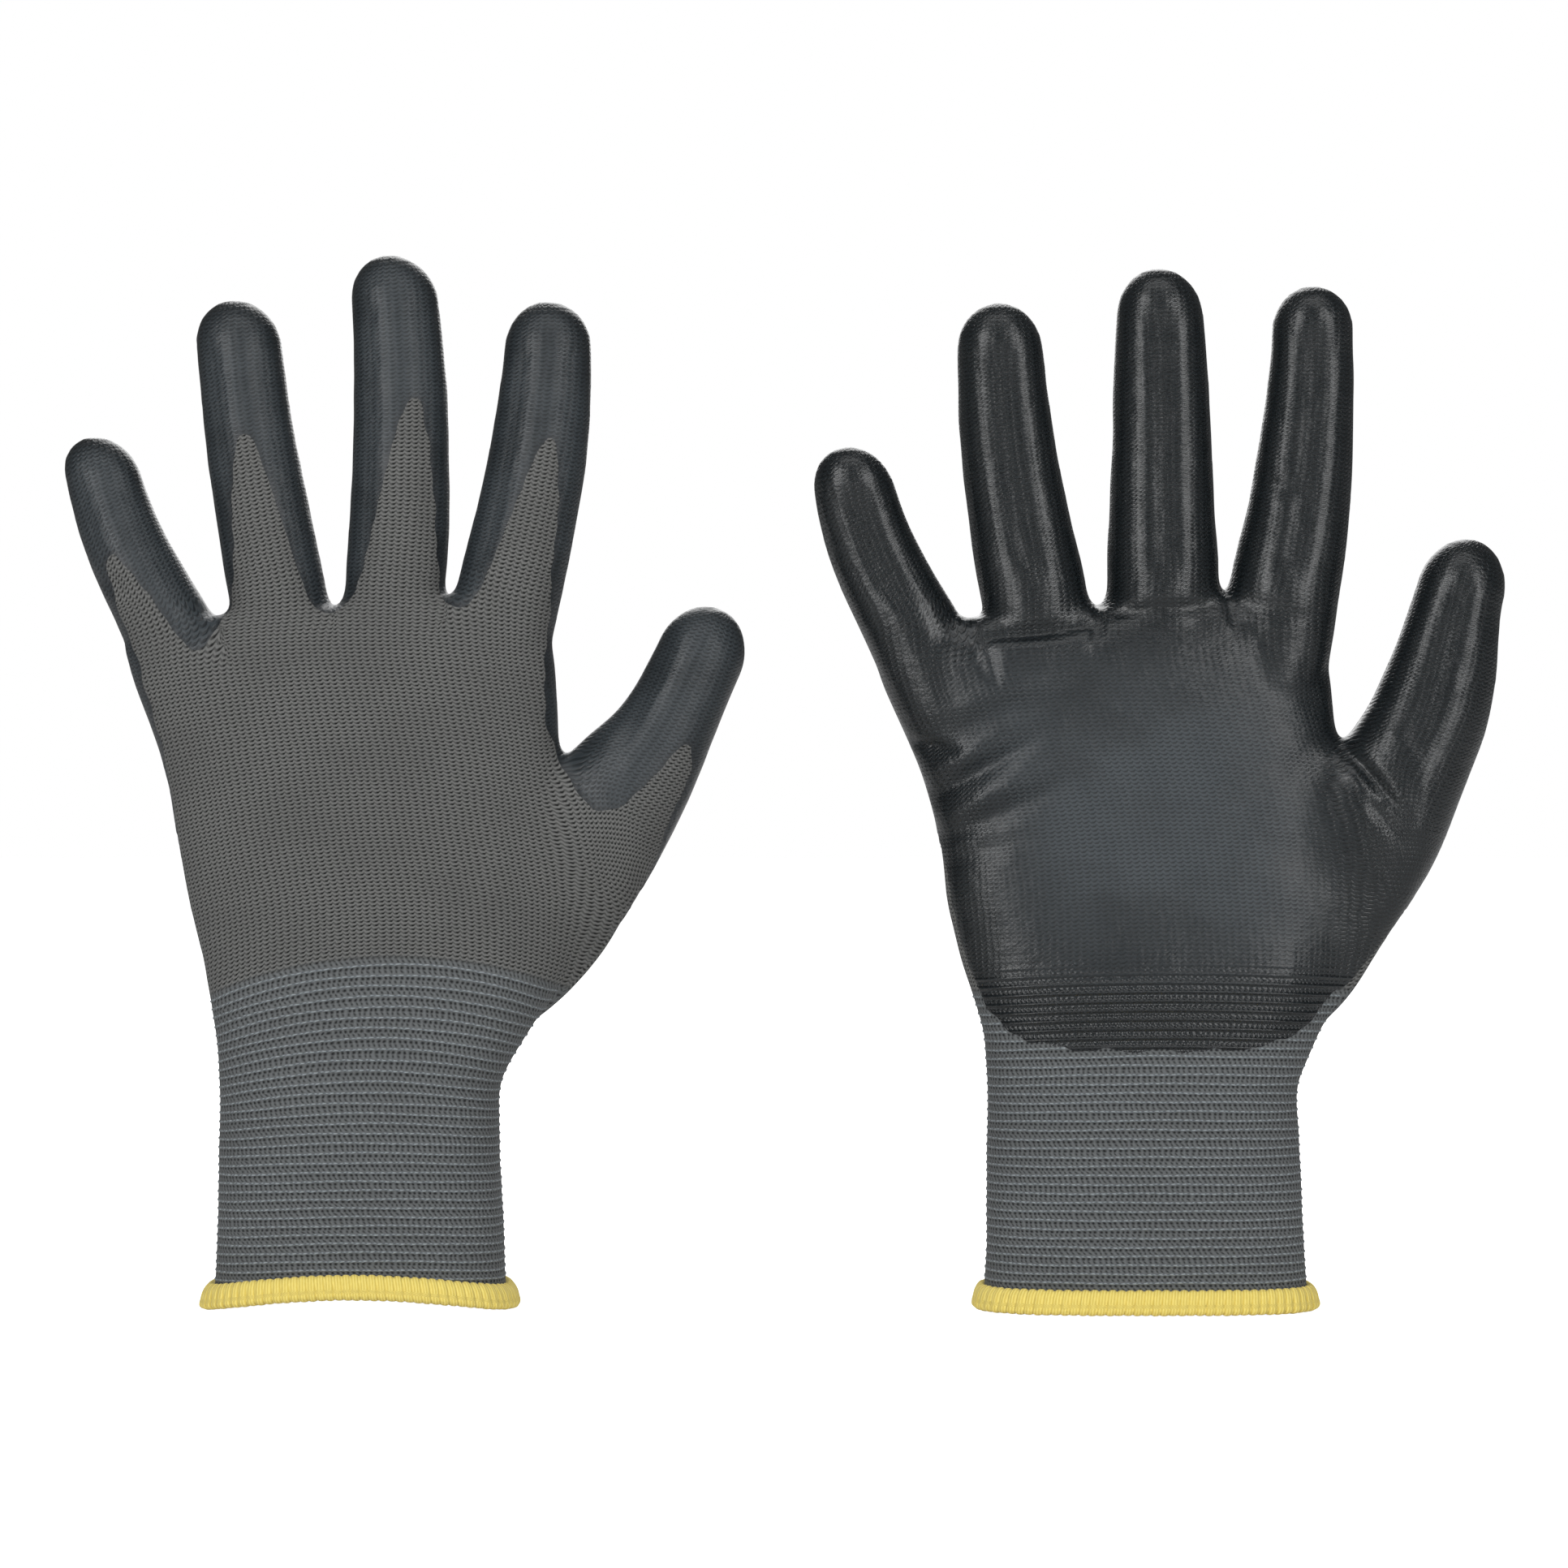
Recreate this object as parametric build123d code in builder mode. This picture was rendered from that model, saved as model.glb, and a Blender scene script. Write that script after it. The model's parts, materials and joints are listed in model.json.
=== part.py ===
from build123d import *
import os
from math import cos, radians, sin, sqrt, tan

# A pair of seamless knitted work gloves with a dipped palm, standing on their cuffs with the fingers up.
# Millimetres. X runs across the hands towards the thumbs, Y through the thickness, Z along the hands.
# The left glove's palm faces +Y and the right glove's palm faces -Y. The origin is the middle of the
# left glove's hand opening, at the bottom of its hem.
os.makedirs("parts", exist_ok=True)

GLOVE_SPACING = 178.3
LINER_WALL = 1.2
COAT = 0.6
HEM_HEIGHT = 5.2
HEM_BULGE = 2.2
HEM_INSET = 0.9
LINER_START = 1.2
ELASTIC_PITCH = 2.2
ELASTIC_ROWS = 30
ELASTIC_START = 8.0
ELASTIC_HEIGHT = 0.7
ELASTIC_PROUD = 0.35
PIVOT_BORE = 0.9
PIVOT_TO_PALM = 2.0
FOLD_GAP = 0.5
NOTCH_REACH = 30.0
# How much wider than its finger a notch in the palm is, on each side.
NOTCH_MARGIN = 1.8
# How far the thumb's notch runs on past the crotch, and down the hinge line below it.
NOTCH_PAST_CROTCH = 3.5
NOTCH_DOWN_LINE = 62.0
COAT_LOW = 58.5
COAT_RISE = 14.0
THICKNESS_RATIO = 0.88

# How far each joint opens its notch: half angles on the palm side and on the back, in degrees.
FINGER_BASE_NOTCH = (41.5, 9.0)
FINGER_TIP_NOTCH = (46.5, 6.5)
THUMB_BASE_NOTCH = (24.0, 6.5)
THUMB_TIP_NOTCH = (34.0, 6.5)
THUMB_TURN = 40.0

# Palm and cuff: height, middle, half width, half thickness.
PALM = {
    "left": [
        (0.0, 0.0, 33.5, 19.5),
        (8.0, 0.0, 32.8, 19.5),
        (45.0, 0.0, 31.7, 19.0),
        (63.0, 3.0, 35.6, 18.5),
        (78.0, 6.5, 41.5, 17.5),
        (93.0, 6.0, 45.5, 16.5),
        (111.0, 1.5, 45.5, 15.5),
        (130.0, -0.9, 45.7, 14.8),
        (145.0, -3.8, 47.9, 14.0),
        (152.0, -5.1, 48.5, 13.2),
    ],
    "right": [
        (0.0, 0.8, 37.0, 17.5),
        (8.0, 0.6, 36.5, 17.5),
        (45.0, 0.0, 35.4, 17.2),
        (63.0, 2.1, 38.2, 17.2),
        (78.0, 4.5, 44.0, 17.0),
        (93.0, 3.0, 47.5, 16.2),
        (111.0, -1.5, 48.0, 15.5),
        (130.0, -4.7, 48.4, 14.8),
        (145.0, -8.7, 51.1, 14.0),
        (152.0, -10.2, 51.5, 13.2),
    ],
}
# Rounded top of the palm, between the fingers: height, middle, half width, half thickness, tilt in degrees.
PALM_TOP = {
    "left": [
        (155.5, -5.0, 48.0, 12.2, 2.5),
        (158.5, -5.0, 47.0, 10.4, 5.0),
        (160.5, -5.0, 45.5, 7.2, 5.0),
    ],
    "right": [
        (154.5, -9.5, 51.0, 12.2, 2.5),
        (157.5, -9.5, 50.0, 10.4, 5.0),
        (159.5, -9.5, 48.5, 7.2, 5.0),
    ],
}

# Fingers: root middle and height, tip middle and height, sideways bow, width at the root and at the end,
# heights of the two joints, height where the coating ends on the back.
FINGERS = {
    "left": {
        "index": (34.6, 167.0, 43.1, 229.8, 2.3, 24.2, 18.8, 174.0, 194.5, 197.5),
        "middle": (8.2, 167.0, 7.4, 240.4, 1.8, 23.0, 19.4, 174.0, 197.5, 207.0),
        "ring": (-19.2, 167.0, -28.5, 230.0, -1.0, 22.4, 19.0, 174.0, 194.5, 199.0),
        "little": (-46.0, 160.0, -60.4, 198.7, -1.9, 22.4, 17.4, 166.5, 183.5, 170.0),
    },
    "right": {
        "index": (33.2, 167.0, 38.5, 232.4, 1.8, 25.0, 18.8, 174.5, 195.5, 200.0),
        "middle": (5.0, 167.0, 3.9, 236.5, 0.3, 25.0, 19.6, 175.5, 197.5, 204.0),
        "ring": (-25.0, 167.0, -32.0, 228.5, -1.6, 24.0, 18.8, 173.0, 194.0, 197.0),
        "little": (-54.8, 160.0, -66.9, 195.7, -2.2, 23.4, 17.2, 165.5, 181.5, 167.0),
    },
}
FINGER_ROOT_DROP = 26.0
FINGER_CURL = 4.0

# Thumb axis: foot and tip in the plane of the hand. Sections: distance up the axis, shift, half width,
# half thickness. Then the joint heights and the end of the coating, up the same axis.
THUMB_AXIS = {
    "left": ((42.0, 75.0), (80.4, 160.0)),
    "right": ((45.5, 75.0), (75.0, 175.0)),
}
THUMB_SECTIONS = {
    "left": [
        (0.0, 0.0, 6.5, 6.0),
        (10.0, 0.0, 9.5, 9.0),
        (20.0, -0.5, 11.5, 11.2),
        (30.0, -1.9, 13.6, 12.5),
        (41.0, -4.0, 16.0, 13.0),
        (52.0, -2.5, 14.0, 11.5),
        (61.0, -0.5, 11.3, 10.5),
        (69.0, 0.0, 10.4, 9.8),
        (81.0, 0.0, 10.0, 9.4),
    ],
    "right": [
        (0.0, -3.0, 6.5, 6.0),
        (10.0, -3.0, 9.3, 9.0),
        (20.0, -2.5, 11.9, 11.2),
        (30.0, -3.0, 14.5, 12.5),
        (39.0, -3.0, 16.0, 13.0),
        (50.0, -0.5, 15.0, 12.0),
        (62.0, 2.0, 13.2, 11.0),
        (76.0, 2.5, 11.6, 10.2),
        (92.0, 1.5, 9.8, 9.4),
    ],
}
THUMB_OUT = 3.0
THUMB_JOINT = {"left": 68.0, "right": 75.0}
THUMB_COAT = {"left": 60.0, "right": 68.0}
# The thumb's own hinge line, from the crotch down to the heel of the hand.
THUMB_LINE = {
    "left": ((46.0, 127.0), (60.0, 90.0)),
    "right": ((45.4, 127.6), (60.0, 90.0)),
}
THUMB_CROTCH_SIDE = {"left": 46.6, "right": 46.0}


def palm_sign(side):
    return 1 if side == "left" else -1


def glove_frame(side):
    # Local x runs across the hand, local y points out of the palm and local z along the fingers.
    sign = palm_sign(side)
    middle = 0.0 if side == "left" else GLOVE_SPACING
    return Plane(origin=(middle, 0, 0), x_dir=(sign, 0, 0), z_dir=(0, 0, 1))


def across(side, u):
    return palm_sign(side) * u


def thumb_direction(side):
    (u0, z0), (u1, z1) = THUMB_AXIS[side]
    length = sqrt((u1 - u0) ** 2 + (z1 - z0) ** 2)
    return (u1 - u0) / length, (z1 - z0) / length, length


def thumb_frame(side, turn=0.0):
    frame = glove_frame(side)
    (u0, z0), _ = THUMB_AXIS[side]
    su, sz, _ = thumb_direction(side)
    axis = Vector(su, 0, sz)
    outward = Vector(sz, 0, -su)
    palm = Vector(0, palm_sign(side), 0)
    y_dir = palm * cos(radians(turn)) - outward * sin(radians(turn))
    origin = Vector(frame.origin.X + u0, palm_sign(side) * THUMB_OUT, z0)
    return Plane(origin=origin, x_dir=y_dir.cross(axis), z_dir=axis)


def line_frame(side):
    # Frame on the thumb's hinge line: z points out to the thumb, y out of the palm, x along the line.
    (ua, za), (ub, zb) = THUMB_LINE[side]
    length = sqrt((ua - ub) ** 2 + (za - zb) ** 2)
    along = Vector((ua - ub) / length, 0, (za - zb) / length)
    out = Vector(along.Z, 0, -along.X)
    palm = Vector(0, palm_sign(side), 0)
    origin = Vector(glove_frame(side).origin.X + ua, 0, za)
    return Plane(origin=origin, x_dir=palm.cross(out), z_dir=out)


def finger_middle(spec, z):
    u0, z0, u1, z1, bow = spec[:5]
    t = (z - z0) / (z1 - z0)
    return u0 + (u1 - u0) * t + 4 * bow * t * (1 - t) if t > 0 else u0 + (u1 - u0 + 4 * bow) * t * 0.8


def finger_depth(spec, z):
    t = max(0.0, (z - spec[1]) / (spec[3] - spec[1]))
    return 0.8 + FINGER_CURL * t * t


def finger_half_width(spec, z):
    z0, z1, w0, w1 = spec[1], spec[3], spec[5], spec[6]
    t = max(0.0, (z - z0) / (z1 - z0 - w1 / 2))
    return (w0 + (w1 - w0) * t) / 2


def tip_steps(start, top, grow):
    # Heights and scale of the sections that round off a fingertip, as on an ellipsoid.
    height = top + grow - start
    return [(start + height * s, sqrt(1 - s * s)) for s in (0.35, 0.62, 0.82, 0.94, 0.99)]


def ellipse_at(plane, x, y, half, thick):
    with BuildSketch(plane) as section:
        with Locations((x, y)):
            Ellipse(half, thick)
    return section.sketch


def slot_at(plane, x, half, thick):
    with BuildSketch(plane) as section:
        with Locations((x, 0)):
            SlotOverall(2 * half, 2 * thick)
    return section.sketch


def finger_sections(side, spec, grow, low, stub_top=None):
    frame = glove_frame(side)
    start = spec[3] - spec[6] / 2 - 1.5
    if stub_top is None:
        rows = [(low + (start - low) * i / 5, 1.0) for i in range(6)] + tip_steps(start, spec[3], grow)
    else:
        rows = [(low + (stub_top - grow - low) * i / 4, 1.0) for i in range(5)]
    sections = []
    for z, scale_by in rows:
        half = finger_half_width(spec, min(z, start))
        x = across(side, finger_middle(spec, z))
        wide, thick = (half + grow) * scale_by, (half * THICKNESS_RATIO + grow) * scale_by
        sections.append(ellipse_at(frame.offset(z), x, finger_depth(spec, z), wide, thick))
    return sections


def thumb_sections(side, grow):
    frame = thumb_frame(side)
    rows = THUMB_SECTIONS[side]
    start, last_shift, last_half, last_thick = rows[-1]
    length = thumb_direction(side)[2]
    sections = []
    for h, shift, half, thick in rows:
        sections.append(ellipse_at(frame.offset(h), across(side, shift), 0, half + grow, thick + grow))
    for h, scale_by in tip_steps(start, length, grow):
        half, thick = (last_half + grow) * scale_by, (last_thick + grow) * scale_by
        sections.append(ellipse_at(frame.offset(h), across(side, last_shift), 0, half, thick))
    return sections


def palm_sections(side, grow, bottom):
    frame = glove_frame(side)
    rows = [(bottom, *PALM[side][0][1:])] + PALM[side][1:]
    sections = []
    for z, u, half, thick in rows:
        sections.append(slot_at(frame.offset(z), across(side, u), half + grow, thick + grow))
    for z, u, half, thick, degrees in PALM_TOP[side]:
        tilt = radians(degrees)
        plane = Plane(
            origin=(frame.origin.X + u, 0, z + grow),
            x_dir=(palm_sign(side) * cos(tilt), 0, palm_sign(side) * sin(tilt)),
            z_dir=(-sin(tilt), 0, cos(tilt)),
        )
        sections.append(slot_at(plane, 0, half + grow, thick + grow))
    return sections


def hand_body(side, grow, bottom=0.0):
    with BuildPart() as body:
        loft(sections=palm_sections(side, grow, bottom), ruled=True)
        for spec in FINGERS[side].values():
            stub = finger_sections(side, spec, grow, spec[1] - FINGER_ROOT_DROP, spec[7] + 3)
            loft(sections=stub, ruled=True)
        loft(sections=thumb_sections(side, grow), ruled=True)
    return body.part


def finger_body(side, spec, grow):
    with BuildPart() as body:
        loft(sections=finger_sections(side, spec, grow, spec[1] - 6), ruled=True)
    return body.part


def shell(outer, inner):
    with BuildPart() as walls:
        add(outer)
        add(inner, mode=Mode.SUBTRACT)
    return walls.part


def prism(frame, spot, outline, low, high, hinge_mode=None):
    # A solid whose outline lies in the frame's y-z plane, swept along the frame's x from low to high.
    # On a hinge's axis the outline is given, or cleared of, a small circle.
    side_plane = Plane(origin=frame.from_local_coords(spot), x_dir=frame.y_dir, z_dir=frame.x_dir)
    with BuildPart() as body:
        with BuildSketch(side_plane.offset(low)):
            with BuildLine():
                Polyline(*outline, close=True)
            make_face()
            if hinge_mode is not None:
                Circle(PIVOT_BORE, mode=hinge_mode)
        extrude(amount=high - low)
    return body.part


def above(notch, far):
    # Outline of what lies past a hinge: the notch is open on the palm side and a little on the back.
    palm, back = (NOTCH_REACH * tan(radians(a)) for a in notch)
    return [(0, 0), (NOTCH_REACH, palm), (NOTCH_REACH, far), (-NOTCH_REACH, far), (-NOTCH_REACH, back)]


def below(notch, far):
    return [(y, -z) for y, z in above(notch, far)]


def beyond(notch, far):
    # Outline of all that is taken off the piece before a hinge.
    palm, back = (NOTCH_REACH * tan(radians(a)) for a in notch)
    return [(0, 0), (NOTCH_REACH, -palm), (NOTCH_REACH, far), (-NOTCH_REACH, far), (-NOTCH_REACH, -back)]


def fold_outlines(notch, reach):
    # The two triangles that a fold fills, each clear of the pieces beside it.
    triangles = []
    for direction, angle in ((1, notch[0]), (-1, notch[1])):
        apex = FOLD_GAP / sin(radians(angle))
        high = (reach - apex) * tan(radians(angle))
        triangles.append([(direction * apex, 0), (direction * reach, high), (direction * reach, -high)])
    return triangles


def keep(body, tools, cutters=()):
    with BuildPart() as piece:
        add(body)
        for tool in tools:
            add(tool, mode=Mode.INTERSECT)
        for cutter in cutters:
            add(cutter, mode=Mode.SUBTRACT)
    return piece.part


def write(body, label):
    body.label = label
    export_step(body, f"parts/{label}.step")


def joint_spot(side, spec, z):
    return across(side, finger_middle(spec, z)), finger_depth(spec, z) + PIVOT_TO_PALM, z


def folds_at(walls, frame, spot, notch, reach, low, high):
    return [keep(walls, [prism(frame, spot, outline, low, high)]) for outline in fold_outlines(notch, reach)]


def write_group(pieces, label):
    with BuildPart() as group:
        for piece in pieces:
            add(piece)
    write(group.part, label)


def finger_dip(side, spec):
    # What the dip covers on one finger: all but the back below a slanting line.
    frame = glove_frame(side)
    end = spec[9]
    back = finger_depth(spec, end) - finger_half_width(spec, end) * THICKNESS_RATIO
    low = spec[1] - 14
    slope = (back + 4.0) / (end - low)
    outline = [(-4.0 - slope * 60, low - 60), (40, low - 60), (40, 260), (-4.0 + slope * 90, low + 90)]
    return prism(frame, (0, 0, 0), outline, -110, 110)


def palm_dip(side):
    # The dip on the hand: in front of a slanting plane, and above a shallow curve across the wrist.
    frame = glove_frame(side)
    outline = [(3.5, 40), (40, 40), (40, 200), (-6.8, 200), (-4.0, 155), (3.5, 75)]
    front = prism(frame, (0, 0, 0), outline, -110, 110)
    middle = PALM[side][3][1]
    with BuildPart() as level:
        with BuildSketch(Plane(origin=(frame.origin.X, -60, 0), x_dir=(1, 0, 0), z_dir=(0, 1, 0))):
            with BuildLine():
                low = ThreePointArc(
                    (middle - 90, -COAT_LOW - 4 * COAT_RISE),
                    (middle, -COAT_LOW),
                    (middle + 90, -COAT_LOW - 4 * COAT_RISE),
                )
                Polyline(low @ 1, (middle + 90, -260), (middle - 90, -260), low @ 0)
            make_face()
        extrude(amount=120)
    return keep(front, [level.part])


def thumb_dip(side):
    frame = thumb_frame(side, THUMB_TURN)
    end = THUMB_COAT[side]
    outline = [(3.0, -20), (40, -20), (40, 140), (-16, 140), (-12.5, end + 14), (-9.6, end), (-2.5, end - 32)]
    return prism(frame, (0, 0, 0), outline, -110, 110)


def lift(side, height):
    frame = glove_frame(side)
    with BuildPart() as block:
        with BuildSketch(frame.offset(height)):
            Rectangle(300, 120)
        extrude(amount=260)
    return block.part


def thumb_region(side):
    # All that lies outside the thumb's hinge line, and outside the index edge above the crotch.
    frame = glove_frame(side)
    (ua, za), (ub, zb) = THUMB_LINE[side]
    low_u = ub + (ub - ua) * 0.6
    low_z = zb + (zb - za) * 0.6
    edge = THUMB_CROTCH_SIDE[side]
    corners = [(edge + 8, 190), (edge, za), (ua, za), (low_u, low_z), (130, low_z), (130, 190)]
    with BuildPart() as region:
        with BuildSketch(Plane(origin=(frame.origin.X, -60, 0), x_dir=(1, 0, 0), z_dir=(0, 1, 0))):
            with BuildLine():
                Polyline(*[(u, -z) for u, z in corners], close=True)
            make_face()
        extrude(amount=120)
    return region.part


def build_fingers(side, root_folds):
    frame = glove_frame(side)
    for name, spec in FINGERS[side].items():
        coat_body = finger_body(side, spec, COAT)
        knit_body = finger_body(side, spec, 0)
        hollow = finger_body(side, spec, -LINER_WALL)
        liner = shell(knit_body, hollow)
        coating = keep(shell(coat_body, knit_body), [finger_dip(side, spec)])
        both = shell(coat_body, hollow)
        low = joint_spot(side, spec, spec[7])
        high = joint_spot(side, spec, spec[8])
        after_low = prism(frame, low, above(FINGER_BASE_NOTCH, 120), -25, 25, Mode.SUBTRACT)
        before_high = prism(frame, high, below(FINGER_TIP_NOTCH, 60), -25, 25, Mode.SUBTRACT)
        after_high = prism(frame, high, above(FINGER_TIP_NOTCH, 90), -25, 25, Mode.SUBTRACT)
        write(keep(liner, [after_low, before_high]), f"{side}_{name}_base_liner")
        write(keep(coating, [after_low, before_high]), f"{side}_{name}_base_coating")
        write(keep(liner, [after_high]), f"{side}_{name}_tip_liner")
        write(keep(coating, [after_high]), f"{side}_{name}_tip_coating")
        write_group(folds_at(both, frame, high, FINGER_TIP_NOTCH, 14, -25, 25), f"{side}_{name}_mid_fold")
        root_folds += folds_at(both, frame, low, FINGER_BASE_NOTCH, 15, -25, 25)


def build_hand(side, root_folds):
    frame = glove_frame(side)
    coat_body = hand_body(side, COAT)
    knit_body = hand_body(side, 0)
    hollow = hand_body(side, -LINER_WALL, bottom=-1.0)
    liner = shell(knit_body, hollow)
    coating = shell(coat_body, knit_body)
    both = shell(coat_body, hollow)

    line = line_frame(side)
    sign = palm_sign(side)
    past_line = sorted((NOTCH_DOWN_LINE * sign, -NOTCH_PAST_CROTCH * sign))
    region = thumb_region(side)
    outside = prism(line, (0, 0, 0), above(THUMB_BASE_NOTCH, 90), -90, 90, Mode.SUBTRACT)
    notch = prism(line, (0, 0, 0), beyond(THUMB_BASE_NOTCH, 60), *past_line, Mode.ADD)

    tip_frame = thumb_frame(side, THUMB_TURN)
    tip_spot = (0, PIVOT_TO_PALM, THUMB_JOINT[side])
    to_tip = prism(tip_frame, tip_spot, below(THUMB_TIP_NOTCH, 120), -60, 60, Mode.SUBTRACT)
    past_tip = prism(tip_frame, tip_spot, above(THUMB_TIP_NOTCH, 60), -40, 40, Mode.SUBTRACT)

    cutters = [notch, region]
    for spec in FINGERS[side].values():
        spot = joint_spot(side, spec, spec[7])
        half = finger_half_width(spec, spec[7]) + NOTCH_MARGIN
        cutters.append(prism(frame, spot, beyond(FINGER_BASE_NOTCH, 90), -half, half, Mode.ADD))
    write(keep(liner, [lift(side, LINER_START)], cutters), f"{side}_palm_liner")
    write(keep(coating, [palm_dip(side)], cutters), f"{side}_palm_coating")

    thumb_knit = keep(liner, [region, outside])
    thumb_coating = keep(coating, [region, outside, thumb_dip(side)])
    write(keep(thumb_knit, [to_tip]), f"{side}_thumb_base_liner")
    write(keep(thumb_coating, [to_tip]), f"{side}_thumb_base_coating")
    write(keep(thumb_knit, [past_tip]), f"{side}_thumb_tip_liner")
    write(keep(thumb_coating, [past_tip]), f"{side}_thumb_tip_coating")
    write_group(folds_at(both, tip_frame, tip_spot, THUMB_TIP_NOTCH, 16, -15, 15), f"{side}_thumb_mid_fold")
    fold_span = sorted((60 * sign, sign))
    root_folds += folds_at(both, line, (0, 0, 0), THUMB_BASE_NOTCH, 26, *fold_span)
    write_group(root_folds, f"{side}_root_folds")


def build_cuff(side):
    frame = glove_frame(side)
    with BuildPart() as outer:
        loft(sections=palm_sections(side, ELASTIC_PROUD, -1.0), ruled=True)
    with BuildPart() as inner:
        loft(sections=palm_sections(side, -ELASTIC_PROUD, -2.0), ruled=True)
    with BuildPart() as slabs:
        for row in range(ELASTIC_ROWS):
            with BuildSketch(frame.offset(ELASTIC_START + row * ELASTIC_PITCH)):
                Rectangle(150, 80)
            extrude(amount=ELASTIC_HEIGHT)
    write(keep(shell(outer.part, inner.part), [slabs.part]), f"{side}_cuff_elastic")

    _, u, half, thick = PALM[side][0]
    x = across(side, u)
    with BuildPart() as roll:
        with BuildSketch(frame):
            with Locations((x, 0)):
                SlotOverall(2 * (half + HEM_BULGE), 2 * (thick + HEM_BULGE))
        extrude(amount=HEM_HEIGHT)
        rims = roll.edges().group_by(Axis.Z)
        fillet(rims[0] + rims[-1], radius=HEM_BULGE * 0.8)
        with BuildSketch(frame.offset(-1)):
            with Locations((x, 0)):
                SlotOverall(2 * (half - LINER_WALL - HEM_INSET), 2 * (thick - LINER_WALL - HEM_INSET))
        extrude(amount=HEM_HEIGHT + 2, mode=Mode.SUBTRACT)
        with BuildSketch(frame.offset(LINER_START)):
            with Locations((x, 0)):
                SlotOverall(2 * half, 2 * thick)
                SlotOverall(2 * (half - LINER_WALL), 2 * (thick - LINER_WALL), mode=Mode.SUBTRACT)
        extrude(amount=HEM_HEIGHT, mode=Mode.SUBTRACT)
    write(roll.part, f"{side}_hem")


for side in ("left", "right"):
    folds = []
    build_fingers(side, folds)
    build_hand(side, folds)
    build_cuff(side)
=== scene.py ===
import json
import math

import bpy
import numpy as np
from mathutils.bvhtree import BVHTree
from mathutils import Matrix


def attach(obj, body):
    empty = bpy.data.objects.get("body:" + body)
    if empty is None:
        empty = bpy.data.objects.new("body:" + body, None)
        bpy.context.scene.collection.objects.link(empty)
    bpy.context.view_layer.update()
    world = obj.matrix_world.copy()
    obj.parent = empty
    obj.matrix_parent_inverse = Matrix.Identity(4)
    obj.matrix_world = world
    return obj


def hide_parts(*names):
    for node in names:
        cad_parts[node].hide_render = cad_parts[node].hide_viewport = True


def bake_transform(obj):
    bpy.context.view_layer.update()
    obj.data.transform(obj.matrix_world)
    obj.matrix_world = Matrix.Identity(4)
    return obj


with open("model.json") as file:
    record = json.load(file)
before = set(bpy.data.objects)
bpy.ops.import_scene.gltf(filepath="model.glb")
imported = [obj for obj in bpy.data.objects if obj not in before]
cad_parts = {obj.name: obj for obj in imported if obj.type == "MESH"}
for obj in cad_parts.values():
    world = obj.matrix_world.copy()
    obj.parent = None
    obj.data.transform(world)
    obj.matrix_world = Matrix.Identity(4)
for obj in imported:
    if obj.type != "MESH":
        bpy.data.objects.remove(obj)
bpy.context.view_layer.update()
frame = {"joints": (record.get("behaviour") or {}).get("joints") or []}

# A pair of knitted work gloves with a dipped palm, as soft skins around the fixed frame. Shapes are worked
# out in millimetres in each glove's own axes: u across the hand towards the thumb, p out of the palm and z
# up to the fingertips. Blender gets them in metres, in the frame's axes.
JOINTS = {joint["name"]: joint for joint in frame["joints"]}

MM = 0.001
GLOVES = ("left", "right")
FINGER_NAMES = ("little", "ring", "middle", "index")
GLOVE_X = {"left": 0.0, "right": 178.3}
PALM_SIGN = {"left": 1.0, "right": -1.0}
VOXEL = 1.2
# Smoothing passes over the whole skin, over the webs (of this radius) and along the thumb's foot.
SKIN_PASSES, SKIN_STEPS = 12, (0.52, -0.54)
WEB_PASSES, WEB_RADIUS = 18, 5.0
FOOT_PASSES, FOOT_LINE = 220, ((48.0, 118.0), (47.0, 78.0))
LINER_THICKNESS = 0.9
# The coating thins out over this width at its edge. Its faces lie a little inside the skin there.
COAT_THICKNESS = 0.42
COAT_EDGE = 2.4
COAT_SINK = 0.03
COAT_UNDERSIDE = -0.1
# Elastic rows, the top of the cuff, and the pitch of the knit's courses and wales.
ELASTIC_PITCH = 2.0
ELASTIC_ROWS = 33
ELASTIC_START = 7.4
ELASTIC_WALE = 2.5
CUFF_TOP = 72.6
COURSE_PITCH = 0.93
WALE_PITCH = 1.65
# How square each section is: 2 is an ellipse.
PALM_POWER = 2.6
FINGER_POWER = 2.15
THUMB_POWER = 2.1

# Columns of the array that holds a skin's points, one row for each.
PLACE, NORMAL, KNIT = slice(0, 3), slice(3, 6), slice(6, 8)
DIP, MATT = 8, 9

# Palm and cuff: height, middle, half width, half thickness.
PALM = {
    "left": (
        (0, 0, 33.5, 19.5), (8, 0.2, 32.8, 19.5), (45, 0, 31.6, 19), (52, -0.2, 31.7, 18.8),
        (63, 3, 35.4, 18.5), (78, 6.5, 41.5, 17.5), (93, 6, 45.2, 16.5), (104, 3.6, 44.8, 16),
        (112, 2.2, 44.4, 15.5), (120, 1.1, 44.7, 15.2), (130, -0.7, 45.5, 14.8), (145, -3.8, 47.9, 14),
        (152, -5.1, 48.5, 13.2), (156, -5.1, 48, 11.6), (160.5, -5, 45, 7.5),
    ),
    "right": (
        (0, 0.8, 37, 17.5), (8, 0.8, 36.5, 17.5), (45, 0.2, 35.3, 17.2), (52, 0.1, 35.2, 17.2),
        (63, 2.1, 38, 17.2), (78, 3.9, 44.6, 17), (93, 3, 47.3, 16.2), (104, 1.9, 47.3, 15.8),
        (112, 0.6, 47.4, 15.5), (120, -1.3, 47.7, 15.1), (130, -4.4, 48.4, 14.8), (145, -8.7, 51.1, 14),
        (152, -10.2, 51.5, 13.2), (155, -9.8, 51, 11.6), (159.5, -9.5, 48, 7.5),
    ),
}
PALM_TILT = 0.085
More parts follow.
